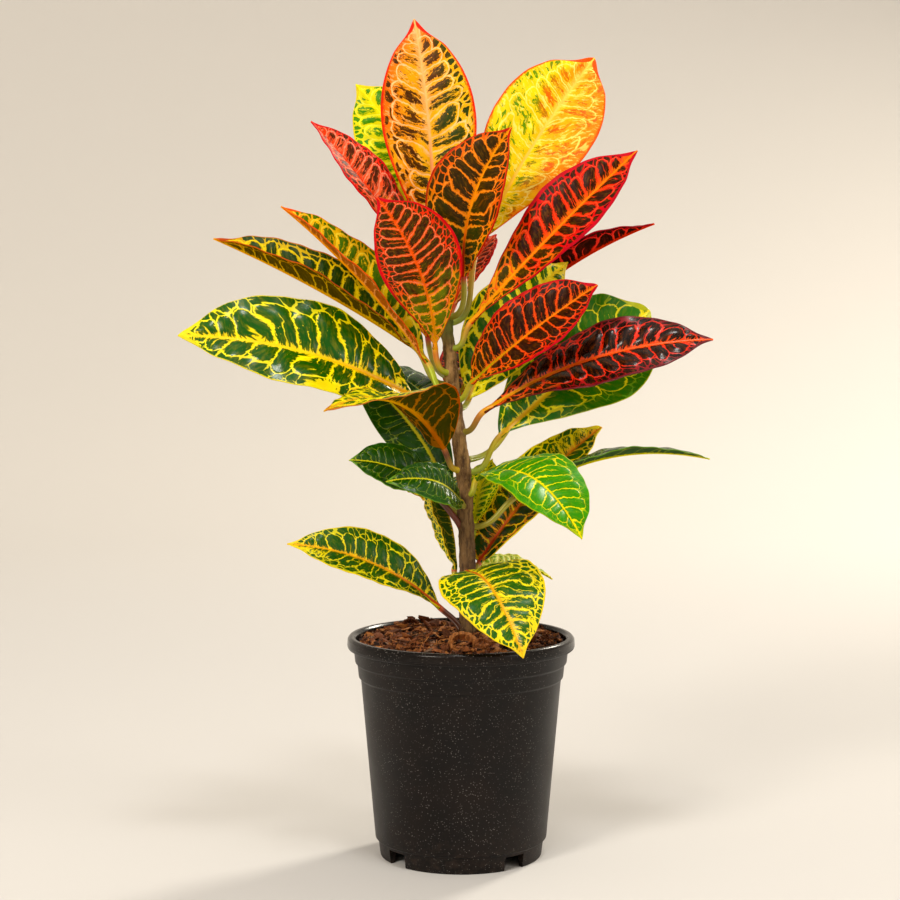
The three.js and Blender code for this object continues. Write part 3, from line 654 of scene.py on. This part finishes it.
    height = s.smooth(depth, 0, 0.12) * s.smooth(from_rib, 0, 0.12) + s.noise(place, 16, 3, 0.6) * 0.22
    s.node("NodeGroupOutput", (vivid, height, cell))
    return tree


def blade_material(name, group, look, shine, rough, bump_mm):
    """One side of a blade, a little rougher between its cells. bump_mm is how far the cells stand out."""
    s = Surface(name, Specular_IOR_Level=shine, Subsurface_Weight=TRANSLUCENCY,
                Subsurface_Radius=(1, 0.7, 0.3), Subsurface_Scale=TRANSLUCENT_DEPTH * MM)
    numbers = {key: getattr(look, key) for key in BLADE_NUMBERS}
    colour, height, cell = s.node("ShaderNodeGroup", look.colours() | numbers, node_tree=group)
    return s.finish(colour, s.smooth(cell, 0, 1, rough + 0.1, rough), height, 0.5, bump_mm)


def petiole_material(name, colours, midrib):
    """A leaf stalk that changes colour from the stem to the blade's midrib, with fine streaks along it."""
    s = Surface(name, Coat_Weight=0.1, Coat_Roughness=0.3)
    along, over = s.uv("blade")
    streaks = s.noise(s.vector(along * 2, over * 9), 1.5, 3, 0.6)
    at_stem, at_blade = colours.split()
    colour = s.layers(at_stem, (s.smooth(along + streaks * 0.3, -0.75, 0.1), at_blade),
                      (s.smooth(along, -0.2, 0), midrib), (s.smooth(streaks, 0.45, 0.75, 0, 0.35), "5c5a1c"))
    return s.finish(colour, s.smooth(streaks, 0.3, 0.7, 0.34, 0.48), streaks, 0.3, 0.3)


# Leaves
def pair(value, side):
    return value[side] if isinstance(value, tuple) else value


def half_width(leaf, t, side):
    """Half the blade's width on one side, in millimetres, at t from 0 at its base to 1 at its tip."""
    along = t ** (math.log(0.5) / math.log(pair(leaf.widest, side)))
    drip = 1 - 0.35 * smoothstep(t, 0.86, 0.97)
    arc = np.sin(math.pi * np.clip(along, 0, 1))
    return leaf.width / 2 * pair(leaf.halves, side) * np.maximum(arc, 0) ** pair(leaf.blunt, side) * drip


def stem_at(z):
    x, y, radius = (np.interp(z, STEM_LINE[:, 2], STEM_LINE[:, i]) for i in (0, 1, 3))
    return np.array((x, y, z)), radius


def leaf_curves(leaf):
    """The Bezier points of the petiole and of the blade's midrib."""
    base, tip = np.array(leaf.base, float), np.array(leaf.tip, float)
    chord = tip - base
    up = across(np.array(leaf.faces, float), unit(chord))
    bow = np.cross(unit(chord), up) * leaf.sway * 4 / 3
    lean = up * leaf.arch * 4 / 3
    blade = [base, base + chord / 3 + lean * (1 + leaf.skew) + bow,
             base + chord * 2 / 3 + lean * (1 - leaf.skew) + bow, tip]
    centre, radius = stem_at(leaf.node)
    outward = unit((base - centre) * (1, 1, 0))
    start = centre + outward * (radius - 1)
    length = np.linalg.norm(base - start)
    leaving = unit(outward + np.array((0, 0, leaf.rise)))
    petiole = [start, start + leaving * length * 0.45, base - unit(blade[1] - base) * length * 0.4, base]
    return petiole, blade


def leaf_stations(leaf):
    """Places, tangents, upper directions and t along the leaf. t is -1 to 0 on the petiole and 0 to 1 on the
    blade."""
    on_petiole = np.linspace(0, 1, PETIOLE_STATIONS, endpoint=False)
    on_blade = np.linspace(0, 1, BLADE_STATIONS + 1)
    curves = [bezier(points, t) for points, t in zip(leaf_curves(leaf), (on_petiole, on_blade))]
    places, tangents = (np.vstack(parts) for parts in zip(*curves))
    t = np.concatenate([on_petiole - 1, on_blade])
    ups = np.zeros_like(places)
    middle = PETIOLE_STATIONS + round(MIDDLE_OF_BLADE * BLADE_STATIONS)
    ups[middle] = across(np.array(leaf.faces, float), tangents[middle])
    for k in range(middle + 1, len(t)):
        ups[k] = across(ups[k - 1], tangents[k])
    for k in range(middle - 1, -1, -1):
        ups[k] = across(ups[k + 1], tangents[k])
    from_middle = 2 * np.maximum(t, 0) - 1
    turn = np.radians(np.where(from_middle < 0, leaf.twist[0], leaf.twist[1]))
    return places, tangents, turned(ups, tangents, np.abs(from_middle) * turn), t


def vein_count(leaf, index, t, out, side):
    """How many side veins lie between the blade's base and a point: they leave the midrib forwards and bend
    towards the tip near the margin."""
    count = leaf.veins * t - mix(0.18, 0.6, t) * out / leaf.vein_space() + 0.4 * side
    for k, (waves, height, bend) in enumerate(VEIN_WAVES):
        start = draw(index * 7 + side + 50 * k)
        count = count + height * np.sin(FULL_TURN * (waves * t + bend * out + start))
    return count


def half_leaf(leaf, index, side, t):
    """One half of a leaf, from its midrib out, with a row for each station: its upper and lower points in
    the station's plane as (right, up), their shares of the half's width, and their places in the map
    "cells"."""
    hand = 2 * side - 1
    t = np.maximum(t, 0)[:, None]
    space = leaf.vein_space()
    rib = mix(PETIOLE_RADIUS, RIB_TIP_RADIUS, np.sqrt(t))
    reach = np.maximum(rib, half_width(leaf, t, side))
    near = np.minimum(1.2 * rib, 0.5 * reach)
    rim = np.minimum(EDGE_WIDTH, 0.1 * reach)
    near_steps, far_steps = np.array((0, 0.33, 0.66, 1)), np.arange(1, 13) / 12
    out = np.hstack([near * near_steps, near + (reach - rim - near) * far_steps, reach])
    share = out / reach

    closed = smoothstep(t, 0, 0.12) * (1 - leaf.opens * t)
    lift = math.radians(leaf.fold[side]) * closed
    ripple = leaf.wave * np.sin(FULL_TURN * (RIPPLES * t + draw(index * 2 + hand))) * np.sin(math.pi * t)
    crimp = CRIMP_HEIGHT * np.sin(FULL_TURN * (CRIMPS * t + draw(index + 40 * side)))
    rise = ripple * share ** 2 + crimp * share ** 4 + HALF_BOW * reach * share * (1 - share) * closed
    count = vein_count(leaf, index, t, out, side)
    beyond = np.maximum(0.5 - (LOOP_PLACE - share) * reach / space, 0)
    depth = 0.5 - np.hypot(count - np.floor(count) - 0.5, beyond)
    bulge = leaf.quilt * smoothstep(depth, -0.1, 0.42) * smoothstep(out, rib, rib + 4)
    bulge = bulge * smoothstep(t, 0.02, 0.15) * smoothstep(t, 1, 0.86)

    blade = smoothstep(t, 0, 0.07)
    thick = mix(BLADE_THICKNESS, MARGIN_THICKNESS, share) / 2
    groove = GROOVE_DEPTH * blade * (0.5 * np.exp(-(out / 0.7) ** 2) - np.exp(-(out / 2.2) ** 2))
    keel = np.sqrt(np.maximum(rib ** 2 - out ** 2, 0))
    tube = PETIOLE_RADIUS * np.sqrt(np.maximum(1 - share ** 2, 0))
    skins = []
    for skin, round_up in ((thick + groove + bulge, tube), (bulge - thick - keel, -tube)):
        right = mix(out, out * np.cos(lift) - skin * np.sin(lift), blade)
        up = mix(round_up, out * np.sin(lift) + rise + skin * np.cos(lift), blade)
        skins.append(np.stack([hand * right, up], axis=-1))
    return *skins, hand * share, np.stack([count + 31 * index + 11 * side, hand * out / space], axis=-1)


def leaf_mesh(leaf, index):
    """The leaf's points, its faces, the UV rows for their corners and their material slots. Each station is
    a ring of points, the upper side from left to right and then the underside back."""
    places, tangents, ups, t = leaf_stations(leaf)
    sides = np.cross(tangents, ups)
    left, right = (half_leaf(leaf, index, side, t) for side in (0, 1))
    top, low, over = (np.concatenate([a[:, ::-1], b[:, 1:]], axis=1) for a, b in zip(left[:3], right[:3]))
    cell_places = np.concatenate([left[3][:, ::-1], right[3]], axis=1)
    plane = np.concatenate([top, low[:, ::-1]], axis=1)
    swell = 1 + 0.35 * np.exp(-(t + 1) * 14) * (t < 0)
    offsets = sides[:, None] * plane[..., :1] + ups[:, None] * plane[..., 1:]
    points = places[:, None] + offsets * swell[:, None, None]

    width = top.shape[1]
    ring, stations = 2 * width, len(t)
    columns = [min(i, ring - 1 - i) for i in range(ring)]
    faces, cells, blade, slots = [], [], [], []
    for k in range(stations - 1):
        for i in range(ring):
            j = (i + 1) % ring
            faces.append((k * ring + i, k * ring + j, (k + 1) * ring + j, (k + 1) * ring + i))
            on_right = columns[i] + columns[j] >= width - 1
            for station, corner in ((k, i), (k, j), (k + 1, j), (k + 1, i)):
                cells.append(cell_places[station, columns[corner] + on_right])
                blade.append((t[station], over[station, columns[corner]]))
            slots.append(PETIOLE if t[k] < 0 else UNDER if width <= i < ring - 1 else UPPER)
    for k, turn, slot in ((0, -1, PETIOLE), (stations - 1, 1, UPPER)):
        faces.append([k * ring + i for i in range(ring)][::turn])
        cells += [cell_places[k, width // 2]] * ring
        blade += [(t[k], 0)] * ring
        slots.append(slot)
    return points.reshape(-1, 3), faces, (("cells", cells), ("blade", blade)), slots


def build_leaves():
    group = blade_group()
    materials = {}
    for name, look in LOOKS.items():
        shine = GLOSSY_SHINE if look.rough < ROUGHEST_GLOSSY else SATIN_SHINE
        under = look.underside()
        materials[name] = (
            blade_material(f"blade_{name}", group, look, shine, look.rough + 0.04, VEIN_RELIEF),
            blade_material(f"underside_{name}", group, under, 0, UNDERSIDE_ROUGHNESS, -VEIN_RELIEF))
    for index, leaf in enumerate(LEAVES):
        points, faces, maps, face_slots = leaf_mesh(leaf, index)
        look = LOOKS[leaf.look]
        midrib = look.colours()["midrib_base"]
        petiole = petiole_material(f"petiole_{leaf.name}", leaf.stalk or look.petiole, midrib)
        node = f"leaf_{leaf.name}"
        piece = add_piece(f"{node}_fine", points, faces, (*materials[leaf.look], petiole), maps, face_slots)
        claim(piece, node)


# Stem
def stem_scars():
    """Heights and angles of the scars that fallen leaves left on the bare part of the stem."""
    heights = np.arange(SOIL_LEVEL + 9, HIGHEST_SCAR, SCAR_SPACING)
    return [(z, math.radians(k * SCAR_TURN_DEG)) for k, z in enumerate(heights)
            if min(abs(z - leaf.node) for leaf in LEAVES) > 3]


def stem_swell(z, angle, centre, scars):
    """How far the bark stands out at a height and an angle, under petioles and round scars."""
    swell = 0.0
    for leaf in LEAVES:
        if abs(z - leaf.node) < 9:
            away = 1 - math.cos(angle - math.atan2(leaf.base[1] - centre[1], leaf.base[0] - centre[0]))
            swell += PETIOLE_SWELL * math.exp(-((z - leaf.node) / 3.2) ** 2 - 2.2 * away)
    for scar_z, scar_angle in scars:
        if abs(z - scar_z) < 8:
            aside = (1 - math.cos(angle - scar_angle)) * 9
            high = (z - scar_z) / SCAR_RADIUS
            ring = math.exp(-(math.hypot(high, aside) - 1) ** 2 * 5)
            swell += SCAR_RIDGE * ring - SCAR_DIP * math.exp(-(high ** 2 + aside ** 2) * 2)
    return swell


def build_stem():
    heights = np.arange(STEM_FOOT, STEM_TOP + 0.1, STEM_RING_STEP)
    scars = stem_scars()
    points = []
    for z in heights:
        centre, radius = stem_at(z)
        taper = 1 - 0.5 * smoothstep(z, STEM_TOP - 4, STEM_TOP)
        for i, (x, y) in enumerate(circle(STEM_SIDES)):
            spot = Vector((x * 1.7, y * 1.7, z * 0.11))
            rough = 0.55 * noise.fractal(spot, 0.9, 2.1, 4) + 0.2 * noise.noise(spot * 6)
            ridge = 0.1 * math.sin(z * 0.9 + 2.5 * noise.noise(spot * 0.7))
            full = (radius + rough + ridge + stem_swell(z, FULL_TURN * i / STEM_SIDES, centre, scars)) * taper
            points.append((centre[0] + full * x, centre[1] + full * y, z))
    stem = add_piece("stem_fine", points, ring_faces(len(heights), STEM_SIDES), [bark_material()])
    claim(stem, "stem")


def bark_material():
    """Young brown bark, darker near its foot and greener at its top."""
    s = Surface("bark_young", Specular_IOR_Level=0.3)
    flat = s.place(1, 1, 0.45)
    fine = s.noise(flat, 900, 5, 0.65)
    patches = s.noise(flat, 150, 4, 0.6)
    streaks = s.noise(s.place(1, 1, 0.1), 650, 4, 0.6)
    height = s.split(s.place())[2]
    colour = s.layers("523618", (s.smooth(patches, 0.35, 0.65), "a07a48"),
                      (s.smooth(fine, 0.55, 0.75, 0, 0.75), "bc9a70"),
                      (s.smooth(streaks, 0.48, 0.7, 0, 0.7), "2a1a0c"),
                      (s.smooth(height + patches * 0.04, 0.25, 0.32, 0.55, 0), "2e1b11"),
                      (s.smooth(height + patches * 0.02, 0.385, 0.41), "5f6a24"))
    return s.finish(colour, s.smooth(fine, 0.3, 0.7, 0.62, 0.88), fine * 0.6 - streaks * 0.7, 0.8, 0.5)


# Pot
def pot_wall_radius(z):
    return mix(FOOT_RADIUS + 2.2, RIM_RADIUS - 8, z / RIM_FOOT)


def rounded(outline, radius=0.7, steps=3):
    """An outline of (r, z) points with each corner replaced by a short arc."""
    result = []
    for before, corner, after in zip(outline[:-2], outline[1:-1], outline[2:]):
        before, corner, after = (np.array(p, float) for p in (before, corner, after))
        into, out = corner - before, after - corner
        cut = min(radius, np.linalg.norm(into) * 0.4, np.linalg.norm(out) * 0.4)
        start, end = corner - unit(into) * cut, corner + unit(out) * cut
        for share in np.linspace(0, 1, steps + 1):
            result.append(mix(mix(start, corner, share), mix(corner, end, share), share))
    return [outline[0], *[tuple(p) for p in result], outline[-1]]


def pot_outline():
    """The pot's section as (r, z) points: under its floor, up its outside and down its inside."""
    wall = pot_wall_radius
    under = [(0, 0), (FLOOR_DISC_RADIUS, 0), (FLOOR_DISC_RADIUS + 3, CHANNEL_HEIGHT - POT_WALL),
             (FOOT_RADIUS - 5, CHANNEL_HEIGHT - POT_WALL), (FOOT_RADIUS - 4, 0)]
    outer = [(FOOT_RADIUS, 0), (FOOT_RADIUS + 1.6, SEAM_HEIGHT), (wall(SEAM_HEIGHT) + 0.4, SEAM_HEIGHT + 0.9),
             (wall(LOWER_BAND), LOWER_BAND), (wall(LOWER_BAND) + BAND_STEP, LOWER_BAND + 1.5),
             (wall(UPPER_BAND) + BAND_STEP, UPPER_BAND), (wall(UPPER_BAND) + 2 * BAND_STEP, UPPER_BAND + 1.5),
             (RIM_RADIUS - LIP_WIDTH, RIM_FOOT - 1), (RIM_RADIUS - 0.8, RIM_FOOT - 1),
             (RIM_RADIUS, RIM_FOOT + 1.2), (RIM_RADIUS - 0.4, POT_HEIGHT - 1.8), (RIM_RADIUS - 2, POT_HEIGHT)]
    inner = [(RIM_RADIUS - LIP_WIDTH, POT_HEIGHT), (RIM_RADIUS - LIP_WIDTH - POT_WALL, POT_HEIGHT - 2),
             (wall(UPPER_BAND) + 2 * BAND_STEP - POT_WALL, UPPER_BAND),
             (wall(LOWER_BAND) - POT_WALL, LOWER_BAND - 2), (wall(CHANNEL_HEIGHT) - POT_WALL, CHANNEL_HEIGHT),
             (FLOOR_DISC_RADIUS + 1, CHANNEL_HEIGHT), (FLOOR_DISC_RADIUS - 2, POT_WALL), (0, POT_WALL)]
    return rounded(under + outer + inner)


def pot_cuts():
    """The drain notches round the foot and the drain holes in the channel, as one mesh."""
    cuts = bmesh.new()
    notch_size = Matrix.Diagonal((*[size * MM for size in NOTCH_SIZE], 1))
    notch = Matrix.Translation((FOOT_RADIUS * MM, 0, 0)) @ notch_size
    hole = Matrix.Translation((DRAIN_HOLE_PLACE * MM, 0, (CHANNEL_HEIGHT - POT_WALL / 2) * MM))
    radius = DRAIN_HOLE_RADIUS * MM

    def turns(count):
        first = math.radians(FIRST_NOTCH_DEG)
        return [Matrix.Rotation(first + FULL_TURN * i / count, 4, "Z") for i in range(count)]

    for turn in turns(DRAIN_NOTCHES):
        bmesh.ops.create_cube(cuts, size=1, matrix=turn @ notch)
    for turn in turns(DRAIN_HOLES):
        bmesh.ops.create_cone(cuts, cap_ends=True, segments=32, radius1=radius, radius2=radius,
                              depth=3 * POT_WALL * MM, matrix=turn @ hole)
    mesh = bpy.data.meshes.new("pot_cuts")
    cuts.to_mesh(mesh)
    cuts.free()
    return mesh


def build_pot():
    pot = lathe("nursery_pot_fine", pot_outline(), POT_SIDES)
    cutter = add_object("pot_cutter", pot_cuts())
    cut = pot.modifiers.new("cut", "BOOLEAN")
    cut.object = cutter
    cut.operation = "DIFFERENCE"
    cut.solver = "EXACT"
    done = bpy.data.meshes.new_from_object(pot.evaluated_get(bpy.context.evaluated_depsgraph_get()))
    pot.modifiers.clear()
    bpy.data.objects.remove(cutter)
    pot.data = done
    done.materials.clear()
    done.materials.append(pot_material())
    done.polygons.foreach_set("use_smooth", [True] * len(done.polygons))
    done.set_sharp_from_angle(angle=math.radians(SHARP_EDGE_DEG))
    claim(pot, "nursery_pot")


def pot_material():
    """Black moulded plastic with a satin sheen, fine pale dust and a few scuffs."""
    s = Surface("black_moulded_plastic", Specular_IOR_Level=0.2)
    place = s.place()
    height = s.split(place)[2]
    cloud = s.noise(place, 26, 3, 0.55)
    specks = s.smooth(s.voronoi(place, 560), 0.1, 0.24, 1, 0) * s.smooth(s.noise(place, 45, 4, 0.8), 0.3, 0.6)
    dust = s.smooth(s.noise(place, 90, 4, 0.7) * 0.05 + height, 0.02, 0.06, 0.3, 0)
    scuffs = s.smooth(s.noise(s.place(1, 1, 0.16), 260, 4, 0.7), 0.62, 0.72)
    colour = s.layers("080504", (s.smooth(cloud, 0.3, 0.7), "130b07"), (scuffs * 0.2, "2e2723"),
                      (dust * s.smooth(s.noise(place, 200, 4, 0.7), 0.4, 0.7), "4a3a2f"),
                      (specks * 0.5, "948e88"))
    rim = s.smooth(height, RIM_FOOT * MM, (RIM_FOOT + 2) * MM)
    rough = s.smooth(cloud, 0.3, 0.7, 0.36, 0.46) + (dust + specks) * 0.3 - rim * 0.2
    return s.finish(colour, rough, s.noise(place, 1500) + scuffs * -0.4, 0.25, 0.12)


# Potting mix
SEED = 20
MIX_RINGS = 64
MIX_SIDES = 160
MIX_REACH = pot_wall_radius(UPPER_BAND) + 2 * BAND_STEP - POT_WALL
MIX_GAP = 0.5
STEM_CLEARANCE = 8
SOIL_DOME = 5
CHIPS = 1100
CHIP_SIZES = (3.5, 10)
LARGE_CHIPS = 70
LARGE_CHIP_SIZES = (9, 14)
CRUMBS = 1800
CRUMB_SIZES = (1, 2.6)
FIBRES = 160
FIBRE_LENGTHS = (6, 16)
FIBRE_RADII = (0.25, 0.45)
FIBRE_STEPS = 6
CURL_STEPS = 40
CURL_TURN_DEG = 325
CURL_LEAN_DEG = 28
# Each curl of bark as (x, y, radius, wall, tone)
CURLS = ((1, -50, 7.6, 2.8, 0.9), (15, -60, 3.6, 1.5, 0.8), (-38, 30, 5, 1.5, 0.4))


def mix_height(x, y):
    """The bed of the mix under the loose chips: a low lumpy dome."""
    dome = SOIL_DOME * (1 - (x * x + y * y) / RIM_RADIUS ** 2)
    lumps = 2.6 * noise.fractal(Vector((x, y, 0)) * 0.075, 0.8, 2.1, 4)
    return SOIL_LEVEL - 2.2 + dome + lumps


def bed_mesh():
    """The solid bed that fills the pot, as (points, faces)."""
    edge = MIX_REACH - MIX_GAP
    rings = [(FLOOR_DISC_RADIUS - 2.6, POT_WALL + 0.3), (FLOOR_DISC_RADIUS + 0.4, CHANNEL_HEIGHT + 0.3),
             (pot_wall_radius(CHANNEL_HEIGHT) - POT_WALL - MIX_GAP, CHANNEL_HEIGHT + 0.3),
             (pot_wall_radius(LOWER_BAND) - POT_WALL - MIX_GAP, LOWER_BAND - 2), (edge, UPPER_BAND)]
    rings += [(min(edge * (1 - k / MIX_RINGS) + 0.6, edge), None) for k in range(MIX_RINGS)]
    points = [(r * x, r * y, mix_height(r * x, r * y) if z is None else z)
              for r, z in rings for x, y in circle(MIX_SIDES)]
    return points, ring_faces(len(rings), MIX_SIDES)


def chip_shape(rng, size, flat):
    """An angular chip: the convex hull of random points in a box of the given size."""
    hull = bmesh.new()
    for _ in range(rng.integers(9, 15)):
        spot = rng.uniform(-0.5, 0.5, 3)
        hull.verts.new(spot * (size * rng.uniform(0.8, 1.5), size * rng.uniform(0.5, 0.8), size * flat))
    made = bmesh.ops.convex_hull(hull, input=hull.verts)
    bmesh.ops.delete(hull, geom=[g for g in made["geom_interior"] if isinstance(g, bmesh.types.BMVert)],
                     context="VERTS")
    hull.verts.index_update()
    points = np.array([v.co[:] for v in hull.verts])
    faces = [[v.index for v in face.verts] for face in hull.faces]
    hull.free()
    return points, faces


def fibre_shape(rng, length, radius):
    """A short bent fibre: a thin three-sided tube that tapers at both ends."""
    bend_y, bend_z = rng.uniform(-0.3, 0.3, 2) * length
    points = []
    for share in np.linspace(-1, 1, FIBRE_STEPS + 1):
        thin = radius * math.sqrt(1.05 - share * share)
        points += [(share * length / 2, bend_y * share ** 2 + thin * y, bend_z * share ** 2 + thin * z)
                   for y, z in circle(3)]
    return points, ring_faces(FIBRE_STEPS + 1, 3)


def curl_shape(radius, width, wall):
    """A strip of bark curled into an open ring, whose open face looks up and leans towards the viewer."""
    points = []
    for k in range(CURL_STEPS + 1):
        angle = math.radians(CURL_TURN_DEG) * k / CURL_STEPS
        spread = radius * (1 + 0.14 * k / CURL_STEPS)
        ragged = 0.8 * math.sin(k * 1.7) + 0.5 * math.sin(k * 3.1)
        for r, z in ((spread - ragged * 0.5, 0), (spread + wall, 0), (spread + wall + ragged * 0.6, width),
                     (spread - ragged * 0.7, width + ragged)):
            points.append((r * math.cos(angle), r * math.sin(angle), z))
    lean = Matrix.Rotation(math.radians(CURL_LEAN_DEG), 3, "X")
    return np.array(points) @ np.array(lean).T, ring_faces(CURL_STEPS + 1, 4)


def scatter(rng, count, reach):
    """Random places on the mix, clear of the stem, out to a distance from the pot's middle."""
    places = []
    while len(places) < count:
        x, y = rng.uniform(-reach, reach, 2)
        if math.hypot(x, y) < reach and math.hypot(x - STEM_LINE[2, 0], y) > STEM_CLEARANCE:
            places.append((x, y))
    return places


def build_mix():
    rng = np.random.default_rng(SEED)
    parts = [(*bed_mesh(), 0.15, 0.5)]

    def lay(shape, x, y, lift, tilt, tone, most_turn=FULL_TURN):
        """Lays a shape on the bed, raised by lift, with a random turn and tilt."""
        points, faces = shape
        turn = Matrix.Rotation(rng.uniform(0, most_turn), 3, "Z") @ Matrix.Rotation(
            rng.normal(0, tilt), 3, "X") @ Matrix.Rotation(rng.normal(0, tilt), 3, "Y")
        moved = np.asarray(points) @ np.array(turn).T
        middle = (moved[:, 2].min() + moved[:, 2].max()) / 2
        parts.append((moved + (x, y, mix_height(x, y) + lift - middle), faces, tone, rng.uniform()))

    for x, y in scatter(rng, CHIPS, MIX_REACH - 4):
        size = rng.uniform(*CHIP_SIZES)
        lay(chip_shape(rng, size, rng.uniform(0.2, 0.4)), x, y, rng.uniform(0, 3), 0.5, rng.uniform())
    for x, y in scatter(rng, LARGE_CHIPS, MIX_REACH - 8):
        raised = 3 * math.exp(-((x + 36) ** 2 + (y - 44) ** 2) / 600)
        shape = chip_shape(rng, rng.uniform(*LARGE_CHIP_SIZES), rng.uniform(0.15, 0.3))
        lay(shape, x, y, rng.uniform(2.5, 4) + raised, 0.4, rng.uniform(0.3, 1))
    for x, y in scatter(rng, CRUMBS, MIX_REACH - 1.5):
        size = rng.uniform(*CRUMB_SIZES)
        lay(chip_shape(rng, size, 0.8), x, y, rng.uniform(1, 3.6), 0.8, rng.uniform())
    for x, y in scatter(rng, FIBRES, MIX_REACH - 8):
        shape = fibre_shape(rng, rng.uniform(*FIBRE_LENGTHS), rng.uniform(*FIBRE_RADII))
        lay(shape, x, y, rng.uniform(3, 4.6), 0.15, rng.uniform(0.6, 1))
    for x, y, radius, wall, tone in CURLS:
        lay(curl_shape(radius, 0.7 * radius, wall), x, y, 5.4, 0.08, tone, 0.3)

    points, faces, tones = [], [], []
    for part_points, part_faces, tone, twin in parts:
        for face in part_faces:
            faces.append([len(points) + i for i in face])
            tones += [(tone, twin)] * len(face)
        points.extend(np.asarray(part_points).tolist())
    bed = add_piece("potting_mix_fine", points, faces, [mix_material()], (("tone", tones),), smooth=False)
    claim(bed, "potting_mix")


def mix_material():
    """Bark chips, each in its own brown, with fibrous grain and pale dusty faces."""
    s = Surface("bark_chips", Specular_IOR_Level=0.25)
    tone, twin = s.uv("tone")
    grain = s.noise(s.place(1, 0.35, 0.6), 900, 4, 0.65)
    colour = s.layers("200f06", (s.smooth(tone, 0, 0.7), "804520"), (s.smooth(tone, 0.7, 1), "bc783c"),
                      (s.smooth(twin, 0.85, 1, 0, 0.6), "937a64"),
                      (s.smooth(grain, 0.4, 0.7, 0, 0.55), "1e0e08"))
    return s.finish(colour, s.smooth(grain, 0.3, 0.7, 0.75, 0.95), grain, 0.7, 0.6)


# Studio
FLAT_FLOOR = 2000
WALL_BEND = 2200
WALL_BEND_STEPS = 16
WALL_TOP = 5000
BACKDROP_SIDES = 64
SKY_STRENGTH = 0.7
# Each lamp as (name, place in metres, height of its target, size in metres, power, colour)
LAMPS = (
    ("key", (-1.3, -1.9, 1.7), 0.34, 0.7, 40, (1, 0.93, 0.82)),
    ("top", (0.15, -0.75, 2.1), 0.35, 0.35, 11, (1, 0.98, 0.94)),
    ("back", (2, 2.3, 2.4), 0.4, 0.75, 98, (1, 0.93, 0.8)),
    ("side", (1.9, -1.2, 0.9), 0.3, 0.9, 9, (1, 0.96, 0.9)),
)
# The camera's place, how far it looks down, its lens and its sensor, for a square picture
CAMERA_PLACE = (-8.2, -1444, 407)
CAMERA_DOWN_DEG = 4.1
CAMERA_LENS = 78
CAMERA_SENSOR = 36


def build_backdrop():
    """A round pale floor that curves up into a wall all round, so that no horizon shows."""
    outline = [(0, 0), (FLAT_FLOOR / 2, 0), (FLAT_FLOOR, 0)]
    for k in range(1, WALL_BEND_STEPS + 1):
        angle = math.pi / 2 * k / WALL_BEND_STEPS
        outline.append((FLAT_FLOOR + WALL_BEND * math.sin(angle), WALL_BEND * (1 - math.cos(angle))))
    backdrop = lathe("backdrop", outline + [(FLAT_FLOOR + WALL_BEND, WALL_TOP)], BACKDROP_SIDES)
    s = Surface("pale_backdrop", Roughness=0.85, Specular_IOR_Level=0.15)
    # Painted light: the floor and wall are painted lighter further from the middle, to make up for the lamps'
    # light falling off with distance.
    from_middle = s.node("ShaderNodeVectorMath", (s.place(),), operation="LENGTH")[LENGTH_VALUE]
    s.put(s.principled["Base Color"], s.layers("cccac8", (s.smooth(from_middle, 0.7, 2.8), "dad7d3")))
    backdrop.data.materials.append(s.material)


def build_studio():
    build_backdrop()
    world = bpy.data.worlds.new("studio")
    world.use_nodes = True
    sky = world.node_tree.nodes["Background"].inputs
    sky["Color"].default_value = linear("fff4e6")
    sky["Strength"].default_value = SKY_STRENGTH
    bpy.context.scene.world = world
    bpy.context.scene.view_settings.view_transform = "Standard"
    for name, place, target, size, power, colour in LAMPS:
        lamp = bpy.data.lights.new(name, "AREA")
        lamp.shape = "DISK"
        lamp.size = size
        lamp.energy = power
        lamp.color = colour
        light = add_object(name, lamp)
        light.location = place
        light.rotation_euler = (Vector((0, 0, target)) - Vector(place)).to_track_quat("-Z", "Y").to_euler()
        light.visible_camera = False

    lens = bpy.data.cameras.new("camera")
    lens.lens = CAMERA_LENS
    lens.sensor_width = CAMERA_SENSOR
    camera = add_object("camera", lens)
    camera.location = Vector(CAMERA_PLACE) * MM
    camera.rotation_euler = (math.radians(90 - CAMERA_DOWN_DEG), 0, 0)
    bpy.context.scene.camera = camera


build_studio()
build_pot()
build_mix()
build_stem()
build_leaves()
